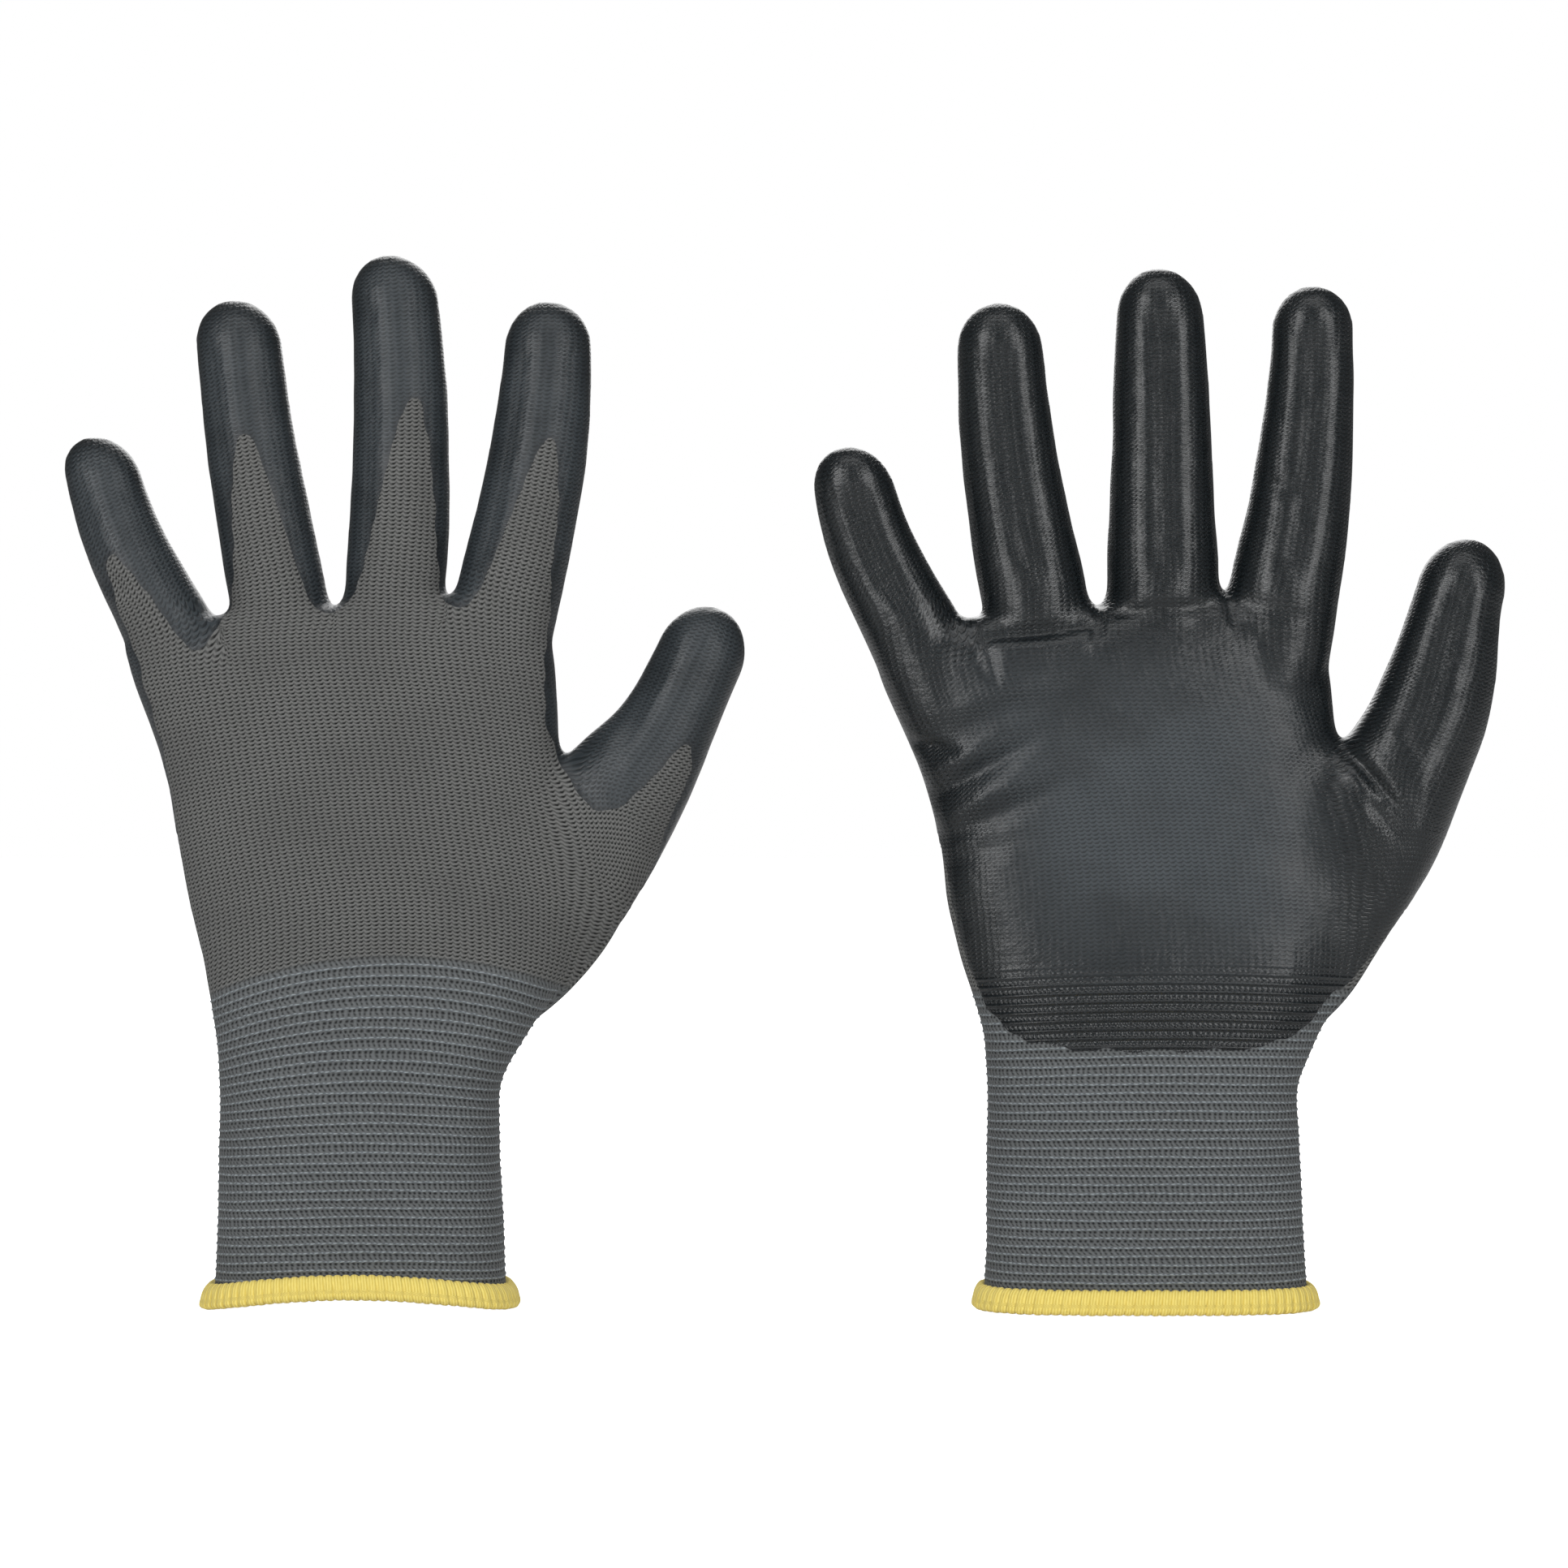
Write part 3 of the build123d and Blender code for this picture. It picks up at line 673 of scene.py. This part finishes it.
def cut(skin, field):
    """Splits a skin where field is 0, into the part below 0 and the part above 0."""
    data, tris = skin
    value = field(data)
    value = np.where(np.abs(value) < 1e-3, 1e-3, value)
    above = value > 0
    count = above[tris].sum(1)
    mixed = tris[(count == 1) | (count == 2)]
    single = above[mixed].sum(1) == 1
    first = (above[mixed] == single[:, None]).argmax(1)
    mixed = np.take_along_axis(mixed, (first[:, None] + np.arange(3)) % 3, 1)
    a, b, c = mixed.T
    edges = np.sort(np.concatenate([np.stack([a, b], 1), np.stack([a, c], 1)]), 1)
    edges, where = np.unique(edges, axis=0, return_inverse=True)
    where = where.ravel() + len(data)
    t = (value[edges[:, 0]] / (value[edges[:, 0]] - value[edges[:, 1]]))[:, None]
    data = np.concatenate([data, data[edges[:, 0]] * (1 - t) + data[edges[:, 1]] * t])
    ab, ac = where[: len(a)], where[len(a):]
    corner = np.stack([a, ab, ac], 1)
    rest = np.stack([np.stack([ab, b, c], 1), np.stack([ab, c, ac], 1)], 1)
    high = np.concatenate([tris[count == 3], corner[single], rest[~single].reshape(-1, 3)])
    low = np.concatenate([tris[count == 0], corner[~single], rest[single].reshape(-1, 3)])
    return compact(data, low), compact(data, high)


def rim_edges(tris):
    """The edges that only one triangle has, in that triangle's direction."""
    directed = triangle_edges(tris)
    keys = np.sort(directed, 1)
    _, where, count = np.unique(keys, axis=0, return_inverse=True, return_counts=True)
    return directed[count[where.ravel()] == 1]


def thicken(skin, outer, inner):
    """A closed sheet whose two faces lie at these distances from the skin."""
    data, tris = skin
    count = len(data)
    top, bottom = data.copy(), data.copy()
    for face, distance in ((top, outer), (bottom, inner)):
        face[:, PLACE] += data[:, NORMAL] * np.reshape(distance, (-1, 1))
    bottom[:, NORMAL] *= -1
    a, b = rim_edges(tris).T
    sides = np.concatenate([np.stack([b, a, a + count], 1), np.stack([b, a + count, b + count], 1)])
    return np.concatenate([top, bottom]), np.concatenate([tris, tris[:, ::-1] + count, sides])


# ---- Blender objects

def add_piece(name, side, slot, nodes, co, faces, uv, bodies, bend=None, normals=None, **values):
    """Adds a mesh given in glove axes. It rides on its first body; a piece given a bend is baked in place
    and tied to no body.
    """
    faces = np.asarray(faces)
    if PALM_SIGN[side] < 0:
        faces = faces[:, ::-1]
    turn = np.array([1.0, PALM_SIGN[side], 1.0])
    mesh = bpy.data.meshes.new(name)
    mesh.from_pydata(((co + np.array([GLOVE_X[side], 0, 0])) * turn * MM).tolist(), [], faces.tolist())
    corner = np.empty(len(mesh.loops), int)
    mesh.loops.foreach_get("vertex_index", corner)
    mesh.uv_layers.new(name="Knit").data.foreach_set("uv", uv[corner].astype(np.float32).ravel())
    for key, value in values.items():
        mesh.attributes.new(key, "FLOAT", "POINT").data.foreach_set("value", np.asarray(value, np.float32))
    mesh.polygons.foreach_set("use_smooth", np.ones(len(mesh.polygons), bool))
    if normals is not None:
        mesh.normals_split_custom_set_from_vertices((normals * turn).tolist())
    mesh.materials.append(MATERIALS[slot])
    mesh.update()
    piece = add_object(name, mesh)
    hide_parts(*nodes)
    if bend is None:
        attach(piece, bodies[0])
    else:
        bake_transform(piece)


def add_skin(name, side, slot, nodes, sheet, bodies, bend):
    data, tris = sheet
    add_piece(name, side, slot, nodes, data[:, PLACE], tris, data[:, KNIT], bodies, bend, data[:, NORMAL],
              dip=data[:, DIP], matt=data[:, MATT])


def add_yarn(name, side, slot, node, points, uvs, section):
    """Adds closed rings, given as runs of points round the cuff, this many runs to a ring."""
    around = len(points[0])
    here = np.arange(around)
    after = (here + 1) % around
    faces = []
    for run in range(len(points)):
        ring = run // section * section
        low, high = run * around, (ring + (run + 1) % section) * around
        faces.append(np.stack([low + here, low + after, high + after, high + here], 1))
    co, faces, uv = (np.concatenate(runs) for runs in (points, faces, uvs))
    add_piece(name, side, slot, [node], co, faces, uv, [f"{side}_hand"])


def liner_sheet(skin):
    return thicken(skin, 0.0, -LINER_THICKNESS)


def coat_sheet(skin):
    """The dipped part of a skin, thin at its edge and thickest a few millimetres in."""
    _, wet = cut(skin, lambda data: data[:, DIP])
    outer = -COAT_SINK + COAT_THICKNESS * smooth_step(-0.3, COAT_EDGE, wet[0][:, DIP])
    return thicken(wet, outer, COAT_UNDERSIDE)


# ---- materials

def set_inputs(node, **values):
    """Sets a node's sockets to constants. An underscore stands for a space."""
    for name, value in values.items():
        node.inputs[name.replace("_", " ")].default_value = value


class Graph:
    """A short way to write a material's node tree."""

    def __init__(self, name):
        self.material = bpy.data.materials.new(name)
        self.material.use_nodes = True
        self.tree = self.material.node_tree
        self.shader = self.tree.nodes["Principled BSDF"]
        uv = self.node("UVMap")
        uv.uv_map = "Knit"
        self.uv = uv.outputs[0]
        split = self.node("SeparateXYZ")
        self.link(self.uv, split.inputs[0])
        self.u, self.v = split.outputs[0], split.outputs[1]

    def node(self, kind):
        return self.tree.nodes.new("ShaderNode" + kind)

    def link(self, source, target):
        """Joins a socket to another, or sets it to a number or a colour."""
        if isinstance(source, tuple):
            target.default_value = (*source, 1.0)
        elif isinstance(source, (int, float)):
            target.default_value = source
        else:
            self.tree.links.new(source, target)

    def math(self, operation, *values, clamp=False):
        node = self.node("Math")
        node.operation = operation
        node.use_clamp = clamp
        for value, socket in zip(values, node.inputs):
            self.link(value, socket)
        return node.outputs[0]

    def add(self, a, b):
        return self.math("ADD", a, b)

    def times(self, a, b):
        return self.math("MULTIPLY", a, b)

    def scaled(self, value, factor, offset):
        return self.math("MULTIPLY_ADD", value, factor, offset)

    def wave(self, value, turns=1.0, phase=0.0):
        """Sine of value, from -1 to 1, with this many turns for each unit."""
        return self.math("SINE", self.scaled(value, 2 * math.pi * turns, 2 * math.pi * phase))

    def lobe(self, value, place, sharp):
        """1 where value's fraction is at place and falling to 0 either side, narrower as sharp grows."""
        return self.math("POWER", self.scaled(self.wave(value, 1.0, 0.25 - place), 0.5, 0.5), sharp)

    def noise(self, scale, detail=2.0, stretch=(1.0, 1.0)):
        mapping = self.node("Mapping")
        mapping.inputs["Scale"].default_value = (stretch[0], stretch[1], 1.0)
        self.link(self.uv, mapping.inputs["Vector"])
        node = self.node("TexNoise")
        set_inputs(node, Scale=scale, Detail=detail)
        self.link(mapping.outputs[0], node.inputs["Vector"])
        return node.outputs[0]

    def value_at(self, name):
        node = self.node("Attribute")
        node.attribute_name = name
        return node.outputs["Fac"]

    def ramp(self, value, low, high, start=0.0, end=1.0):
        node = self.node("MapRange")
        node.interpolation_type = "SMOOTHSTEP"
        self.link(value, node.inputs["Value"])
        for socket, number in zip(("From Min", "From Max", "To Min", "To Max"), (low, high, start, end)):
            self.link(number, node.inputs[socket])
        return node.outputs[0]

    def mix(self, share, first, second):
        node = self.node("Mix")
        node.data_type = "RGBA"
        for value, socket in zip((share, first, second), (0, 6, 7)):
            self.link(value, node.inputs[socket])
        return node.outputs[2]

    def blend(self, share, first, second):
        """The number that lies this share of the way from first to second."""
        return self.add(first, self.times(share, self.math("SUBTRACT", second, first)))

    def bump(self, height, distance, strength):
        node = self.node("Bump")
        set_inputs(node, Strength=strength, Distance=distance)
        self.link(height, node.inputs["Height"])
        return node.outputs[0]

    def set(self, **sockets):
        for name, value in sockets.items():
            self.link(value, self.shader.inputs[name.replace("_", " ")])


def palm_stitches(g):
    """Plain knit: 1 on the wavy courses and 0 in the gaps, deepest where the courses step down."""
    drift = g.scaled(g.noise(0.35, 1.0), 0.6, -0.3)
    u = g.add(g.u, drift)
    bend = g.add(g.times(g.wave(u), 0.20), g.times(g.wave(u, 2.0, 0.19), 0.08))
    line = g.add(g.add(g.v, bend), g.times(drift, 0.5))
    ridge = g.scaled(g.wave(line, 1.0, 0.25), 0.5, 0.5)
    dash = g.scaled(g.lobe(u, 0.42, 1.5), 0.55, 0.45)
    return g.math("SUBTRACT", 1.0, g.times(g.ramp(ridge, 0.72, 0.12), dash))


def elastic_rows(g):
    """Counts the elastic rows up the cuff: a whole number on each row."""
    return g.scaled(g.v, COURSE_PITCH / ELASTIC_PITCH, -ELASTIC_START / ELASTIC_PITCH)


def cuff_stitches(g):
    """Cuff knit: 0 in the paired holes under each elastic row and in the small slots below them."""
    rows = elastic_rows(g)
    drift = g.scaled(g.noise(0.5, 1.0), 0.5, -0.25)
    wale = g.add(g.times(g.u, WALE_PITCH / ELASTIC_WALE), drift)
    skew = g.add(wale, g.times(rows, 0.12))
    pair = g.math("ADD", g.lobe(skew, 0.25, 4.0), g.lobe(skew, 0.72, 4.0), clamp=True)
    big = g.times(g.lobe(rows, 0.70, 4.0), pair)
    slots = g.lobe(g.add(g.times(wale, 2.0), g.times(rows, 1.0)), 0.3, 2.0)
    small = g.times(g.lobe(rows, 0.32, 4.0), slots)
    return g.math("SUBTRACT", 1.0, g.math("ADD", g.times(big, 1.1), g.times(small, 0.8), clamp=True))


def knit_material():
    """Bare knit, plain on the hand and ribbed on the cuff, with a little wear and fuzz, and painted shade
    in the gaps and holes between the stitches.
    """
    g = Graph("knit")
    plain = palm_stitches(g)
    ribbed = cuff_stitches(g)
    in_cuff = g.ramp(g.v, (CUFF_TOP + 1.0) / COURSE_PITCH, (CUFF_TOP - 0.4) / COURSE_PITCH)
    level = g.blend(in_cuff, plain, ribbed)
    fuzz = g.noise(7.0, 3.0, (1.0, 1.8))
    patch = g.noise(0.06, 2.0)
    # Colour: darker in the gaps and holes between the stitches, which is painted shade; the fuzz and the
    # worn patches are the yarn's own uneven tone.
    lit = g.math("ADD", level, g.scaled(fuzz, 0.7, -0.42), clamp=True)
    dark = g.mix(in_cuff, (0.0075, 0.0078, 0.0075), (0.012, 0.013, 0.014))
    light = g.mix(in_cuff, (0.165, 0.167, 0.162), (0.142, 0.151, 0.154))
    colour = g.mix(lit, dark, light)
    worn = g.mix(g.ramp(patch, 0.35, 0.7, 0.0, 0.3), colour, g.mix(0.5, colour, (0.045, 0.045, 0.045)))
    normal = g.bump(g.add(level, g.times(fuzz, 0.25)), 0.00035, 0.8)
    g.set(Base_Color=worn, Roughness=0.88, Normal=normal)
    set_inputs(g.shader, Specular_IOR_Level=0.25, Sheen_Weight=0.08, Sheen_Roughness=0.5)
    return g.material


def coat_material():
    """The dipped skin: the knit shows through faintly, and the palm's middle and the back are matt."""
    g = Graph("nitrile")
    plain = palm_stitches(g)
    ribbed = g.add(g.lobe(elastic_rows(g), 0.0, 2.5), g.times(cuff_stitches(g), 0.35))
    in_cuff = g.ramp(g.v, (CUFF_TOP + 7.0) / COURSE_PITCH, (CUFF_TOP - 2.0) / COURSE_PITCH)
    matt = g.times(g.value_at("matt"), g.ramp(g.noise(0.06, 3.0), 0.30, 0.60, 0.55, 1.0))
    fine = g.noise(2.4, 4.0)
    grain = g.noise(7.0, 3.0, (1.0, 1.7))
    lumps = g.noise(0.55, 2.0)
    soft = g.noise(0.22, 3.0, (1.0, 0.5))
    shown = g.add(g.ramp(soft, 0.38, 0.72, 0.3, 1.0), g.times(matt, 0.25))
    through = g.times(g.times(g.blend(in_cuff, plain, 0.0), shown), 1.5)
    height = g.add(through, g.times(g.times(ribbed, in_cuff), 4.5))
    height = g.add(height, g.add(g.times(fine, 0.45), g.times(grain, 0.2)))
    height = g.add(height, g.times(lumps, 1.6))
    normal = g.bump(height, 0.00012, 0.8)
    # Colour: random fine tone, and lighter on the knit's courses that show through and darker between them,
    # which is painted shade in the dips of the relief.
    tone_and_course_shade = g.ramp(g.add(g.times(fine, 0.6), g.times(plain, 0.35)), 0.35, 0.8)
    dark = g.mix(tone_and_course_shade, (0.0034, 0.0047, 0.0055), (0.0110, 0.0148, 0.0172))
    flat = g.mix(g.times(g.ramp(plain, 0.3, 0.9), 0.7), (0.016, 0.021, 0.025), (0.067, 0.082, 0.093))
    colour = g.mix(g.times(matt, 0.8), dark, flat)
    edge = g.ramp(g.value_at("dip"), 0.0, 1.6, 0.5, 0.0)
    colour = g.mix(edge, colour, (0.014, 0.015, 0.017))
    rough = g.add(g.blend(matt, 0.27, 0.5), g.scaled(fine, 0.2, -0.1))
    g.set(Base_Color=colour, Roughness=rough, Normal=normal)
    set_inputs(g.shader, Specular_IOR_Level=0.5)
    return g.material


def yarn_material(name, light, dark, twist, dash):
    """Spun yarn whose plies cross it at an angle. Its colour holds painted shade in the grooves between the
    plies and a painted highlight where it lies on top of a stitch.
    """
    g = Graph(name)
    # Colour: lighter on each ply's crown and darker in the grooves between plies, which is painted shade;
    # the fuzz is the yarn's own uneven tone.
    ply = g.scaled(g.wave(g.add(g.times(g.u, twist), g.v)), 0.5, 0.5)
    fuzz = g.noise(6.0, 3.0)
    painted_stitch_highlight = g.times(g.lobe(g.u, 0.5, 3.0), dash)
    level = g.add(g.times(ply, 0.6 - dash * 0.3), g.add(g.times(fuzz, 0.6), painted_stitch_highlight))
    colour = g.mix(g.ramp(level, 0.2, 1.0), dark, light)
    g.set(Base_Color=colour, Roughness=0.8, Normal=g.bump(level, 0.0002, 0.6))
    set_inputs(g.shader, Specular_IOR_Level=0.3, Sheen_Weight=0.15)
    return g.material


# ---- the glove's pieces

def seam_heights(side, name):
    """The lower and upper ends of the stretches that bend at a finger's base and tip joints."""
    base = JOINTS[f"{side}_{name}_base"]["pos_m"][2] / MM
    tip = JOINTS[f"{side}_{name}_tip"]["pos_m"][2] / MM
    reach = LITTLE_TIP_BEND if name == "little" else TIP_BEND
    return base - BASE_BEND, base + BASE_BEND, tip - reach, tip + reach


def cut_digits(skin, side):
    """The palm's skin and each digit's base and tip skins."""
    roots, _, middles, _ = np.array([seam_heights(side, name) for name in FINGER_NAMES]).T

    def off_palm(data):
        u, _, z = data[:, PLACE].T
        finger = which_finger(side, u, z)
        return np.maximum(thumb_side(side, u, z), z - roots[finger])

    def on_thumb(data):
        return thumb_side(side, data[:, 0], data[:, 2])

    palm, digits = cut(skin, off_palm)
    fingers, thumb = cut(digits, on_thumb)
    parts = {}
    rest = fingers
    for index, name in enumerate(FINGER_NAMES):
        if index < len(FINGER_NAMES) - 1:
            own, rest = cut(rest, lambda data: data[:, 0] - finger_bounds(side, data[:, 2])[index])
        else:
            own = rest
        parts[name] = cut(own, lambda data: data[:, 2] - middles[index])
    joint = thumb_tip_height(side)

    def past_joint(data):
        return thumb_coordinates(side, data[:, 0], data[:, 2])[0] - joint + THUMB_TIP_BEND

    parts["thumb"] = cut(thumb, past_joint)
    return palm, parts


def thumb_tip_height(side):
    """How far up the thumb's axis its tip joint is."""
    x, _, z = JOINTS[f"{side}_thumb_tip"]["pos_m"]
    return float(thumb_coordinates(side, x / MM - GLOVE_X[side], z / MM)[0])


def bend_points(side, name):
    """Start and end of the fabric's bend at both of a digit's joints, in the frame's metres."""
    x = GLOVE_X[side]
    if name != "thumb":
        a, b, c, d = (height * MM for height in seam_heights(side, name))
        return ((0, 0, a), (0, 0, b)), ((0, 0, c), (0, 0, d))
    ua, za, out_u, out_z = thumb_crease(side)
    root_end = ((x + ua + out_u * THUMB_ROOT_BEND) * MM, 0, (za + out_z * THUMB_ROOT_BEND) * MM)
    u0, z0, su, sz, _ = thumb_axis(side)
    ends = []
    for h in (thumb_tip_height(side) - THUMB_TIP_BEND, thumb_tip_height(side) + THUMB_TIP_BEND):
        ends.append(((x + u0 + su * h) * MM, 0, (z0 + sz * h) * MM))
    return (((x + ua) * MM, 0, za * MM), root_end), tuple(ends)


def build_skin(side):
    """The glove's outer skin, open at the hem, with everything that its points carry."""
    co, tris = merged_skin(side)
    co = relax(co, tris, side)
    co = dress(co, point_normals(co, tris), side)
    data = np.concatenate([
        co, point_normals(co, tris), knit_coordinates(side, co),
        dip_distance(side, co)[:, None], palm_matt(side, co)[:, None],
    ], 1)
    links, degree = neighbours(tris, len(co))
    for _ in range(2):
        data[:, DIP:] = 0.5 * data[:, DIP:] + 0.5 * averaged(data[:, DIP:], links, degree)
    _, open_skin = cut((data, tris), lambda d: d[:, 2] - hem_lift(side, d[:, 0]) - SKIN_START)
    return open_skin


def hem_lift(side, u):
    """How far the hem is lifted at this place."""
    _, middle, half, _ = PALM[side][0]
    return HEM_LIFT[side] * np.clip(1 - ((u - middle) / (half + 2)) ** 2, 0, 1)


def build_glove(side):
    hand = f"{side}_hand"
    skin = build_skin(side)
    build_elastic(side, skin)
    build_hem(side)
    palm, digits = cut_digits(skin, side)
    parts = [(f"{side}_palm", palm, [hand], None, [f"{side}_root_folds"])]
    for name, (base_skin, tip_skin) in digits.items():
        base, tip = f"{side}_{name}_base", f"{side}_{name}_tip"
        root_bend, tip_bend = bend_points(side, name)
        parts.append((base, base_skin, [hand, base], root_bend, []))
        parts.append((tip, tip_skin, [base, tip], tip_bend, [f"{side}_{name}_mid_fold"]))
    for part, own_skin, bodies, bend, folds in parts:
        add_skin(f"{part}_knit", side, "knit", [f"{part}_liner"], liner_sheet(own_skin), bodies, bend)
        coated = [f"{part}_coating"] + folds
        add_skin(f"{part}_coat", side, "nitrile", coated, coat_sheet(own_skin), bodies, bend)


def cuff_point(side, angle, level, proud):
    """A point standing proud of the cuff, on the course that starts at this level."""
    z = level + arch_at(side, level) * (1 - np.cos(angle) ** 2)
    for _ in range(2):
        middle, half, thick = smooth_rows(PALM[side], np.clip(z, 0, 160), 2.5)
        x, y = oval(half, thick, PALM_POWER, angle)
        z = level + arch_at(side, level) * arch_share(x, half)
    slopes = [np.sign(v) * np.abs(v / reach) ** 1.6 / reach for v, reach in ((x, half), (y, thick))]
    normal = np.stack(slopes, 1)
    normal /= np.linalg.norm(normal, axis=1)[:, None]
    return np.stack([middle + x + normal[:, 0] * proud, y + normal[:, 1] * proud, z], 1), normal


def even_angles(side, count):
    """Angles that space points evenly round the cuff."""
    fine = full_turn(4000) + 1e-4
    co, _ = cuff_point(side, fine, 20.0, 0.0)
    run = np.concatenate([[0], np.cumsum(np.linalg.norm(np.diff(co, axis=0), axis=1))])
    return np.interp(np.linspace(0, run[-1], count, endpoint=False), run, fine), run[-1]


def build_elastic(side, skin):
    """Rows of elastic yarn laid on the cuff's skin, each a little wavy where the stitches hold it."""
    surface = BVHTree.FromPolygons(skin[0][:, PLACE].tolist(), skin[1].tolist())
    around, section = ELASTIC_AROUND, ELASTIC_SECTION
    angles, girth = even_angles(side, around)
    along = np.linspace(0, girth, around, endpoint=False)
    points, uvs = [], []
    for row in range(ELASTIC_ROWS):
        level = ELASTIC_START + row * ELASTIC_PITCH
        ripple = 0.05 * np.sin(along * 2 * math.pi / ELASTIC_WALE + row)
        ripple += 0.1 * np.sin(along * 0.21 + row * 1.7)
        centre, normal = cuff_point(side, angles, level + ripple, 0.0)
        centre[:, :2] = np.array([surface.find_nearest(point)[0][:2] for point in centre.tolist()])
        proud = 0.04 - 0.75 * smooth_step(-0.6, 0.4, dip_distance(side, centre))
        centre[:, :2] += normal * proud[:, None]
        thick = YARN_RADIUS + 0.05 * np.sin(along * 2 * math.pi / ELASTIC_WALE + row * 2.1)
        for k in range(section):
            turn = 2 * math.pi * k / section
            ring = centre.copy()
            ring[:, :2] += normal * (thick * 0.8 * math.cos(turn))[:, None]
            ring[:, 2] += thick * 1.05 * math.sin(turn)
            points.append(ring)
            uvs.append(np.stack([along / ELASTIC_WALE + row * 0.33, np.full(around, k / section)], 1))
    add_yarn(f"{side}_cuff_yarn", side, "elastic", f"{side}_cuff_elastic", points, uvs, section)


def build_hem(side):
    """The overlocked edge: a roll of thread ribs round the hand opening, with loops along its top."""
    around, section = HEM_RIBS * HEM_STEPS, HEM_SECTION
    angles, _ = even_angles(side, around)
    rib = np.arange(around) / HEM_STEPS
    uneven = 0.06 * np.sin(np.floor(rib) * 2.4) + 0.05 * np.sin(np.floor(rib) * 0.9 + 1)
    points, uvs = [], []
    for k in range(section):
        turn = 2 * math.pi * k / section
        out, up = math.cos(turn), math.sin(turn)
        leaning = (rib + 0.35 * up / HEM_STEPS * 4) % 1.0
        bulge = np.sqrt(np.clip(1 - (2 * leaning - 1) ** 2, 0, 1))
        ribbed = smooth_step(0.75, 0.15, up)
        ridge = (-0.55 + 0.65 * bulge) * ribbed + (0.12 * bulge - 0.1) * (1 - ribbed) + uneven
        proud = HEM_PROUD[side] * 0.5 * (1 + out) - 1.3 * 0.5 * (1 - out)
        loop = 0.55 * bulge * max(0.0, up) ** 3 if out > -0.2 else 0.0
        height = HEM_HEIGHT / 2 * (1 + 0.96 * np.sign(up) * abs(up) ** 0.8)
        co, normal = cuff_point(side, angles, 0.0, proud + ridge * (0.5 + 0.5 * out) - 0.2)
        co[:, 2] = hem_lift(side, co[:, 0]) + height + ridge * 0.5 * up + loop + 0.05
        co[:, :2] += normal * (smooth_step(3.5, 0.0, height) * (0.5 + 0.5 * out))
        co[:, 2] = np.maximum(co[:, 2], 0.02)
        points.append(co)
        uvs.append(np.stack([rib, np.full(around, k / section * 3)], 1))
    add_yarn(f"{side}_hem_roll", side, "hem_thread", f"{side}_hem", points, uvs, section)


# ---- floor, light and camera

CENTRE = (0.095, 0.0, 0.13)
CAMERA_PLACE = (0.0967, -0.994, 0.1196)
LENS, SENSOR = 100, 36
FLOOR_REACH = 6.0
SKY_LIGHT = 0.13
# Place, width, height and power.
SOFTBOXES = {
    "left_box": ((-0.68, -1.12, 0.30), 0.4, 1.4, 13),
    "right_box": ((0.88, -1.12, 0.30), 0.4, 1.4, 11),
    "top_box": ((0.1, -0.6, 1.4), 1.4, 0.6, 5),
    "back_box": ((0.1, 1.3, 0.9), 0.9, 1.2, 8),
}


def add_floor():
    """A pale floor that looks white and passes light on as a pale one does."""
    mesh = bpy.data.meshes.new("floor")
    corners = [(x * FLOOR_REACH, y * FLOOR_REACH, 0) for x, y in ((-1, -1), (1, -1), (1, 1), (-1, 1))]
    mesh.from_pydata(corners, [], [(0, 1, 2, 3)])
    floor = add_object("floor", mesh)
    material = bpy.data.materials.new("pale_floor")
    material.use_nodes = True
    tree = material.node_tree
    shader = tree.nodes["Principled BSDF"]
    set_inputs(shader, Base_Color=(0.93, 0.93, 0.93, 1), Roughness=0.9, Emission_Color=(1, 1, 1, 1))
    path = tree.nodes.new("ShaderNodeLightPath")
    tree.links.new(path.outputs["Is Camera Ray"], shader.inputs["Emission Strength"])
    mesh.materials.append(material)


def add_softbox(name, place, width, height, power):
    """A rectangular light turned to face the gloves."""
    data = bpy.data.lights.new(name, "AREA")
    data.shape = "RECTANGLE"
    data.size, data.size_y = width, height
    data.energy = power
    light = add_object(name, data)
    light.location = place
    x, y, z = np.array(CENTRE, float) - np.array(place, float)
    light.rotation_euler = (math.atan2(math.hypot(x, y), -z), 0, math.atan2(y, x) - math.pi / 2)


def add_world():
    """White where it is seen, and much dimmer as a source of light."""
    world = bpy.data.worlds.new("studio")
    bpy.context.scene.world = world
    world.use_nodes = True
    tree = world.node_tree
    seen, lit = tree.nodes["Background"], tree.nodes.new("ShaderNodeBackground")
    for node, strength in ((seen, 1.0), (lit, SKY_LIGHT)):
        set_inputs(node, Color=(1, 1, 1, 1), Strength=strength)
    path = tree.nodes.new("ShaderNodeLightPath")
    mix = tree.nodes.new("ShaderNodeMixShader")
    link = tree.links.new
    link(path.outputs["Is Camera Ray"], mix.inputs[0])
    link(lit.outputs[0], mix.inputs[1])
    link(seen.outputs[0], mix.inputs[2])
    link(mix.outputs[0], tree.nodes["World Output"].inputs[0])


def add_camera():
    data = bpy.data.cameras.new("camera")
    data.lens, data.sensor_width = LENS, SENSOR
    camera = add_object("camera", data)
    camera.location = CAMERA_PLACE
    camera.rotation_euler = (math.pi / 2, 0, 0)
    bpy.context.scene.camera = camera


add_camera()
add_world()
add_floor()
for box_name, box in SOFTBOXES.items():
    add_softbox(box_name, *box)

bpy.context.scene.view_settings.view_transform = "Standard"

MATERIALS = {
    "knit": knit_material(),
    "nitrile": coat_material(),
    # The elastic's 0.45 sets the painted highlight on top of each stitch; the hem thread's 0.0 gives it
    # none.
    "elastic": yarn_material("elastic", (0.27, 0.30, 0.315), (0.085, 0.097, 0.107), 2.0, 0.45),
    "hem_thread": yarn_material("hem_thread", (0.90, 0.75, 0.22), (0.70, 0.53, 0.10), 3.0, 0.0),
}
for glove in GLOVES:
    build_glove(glove)
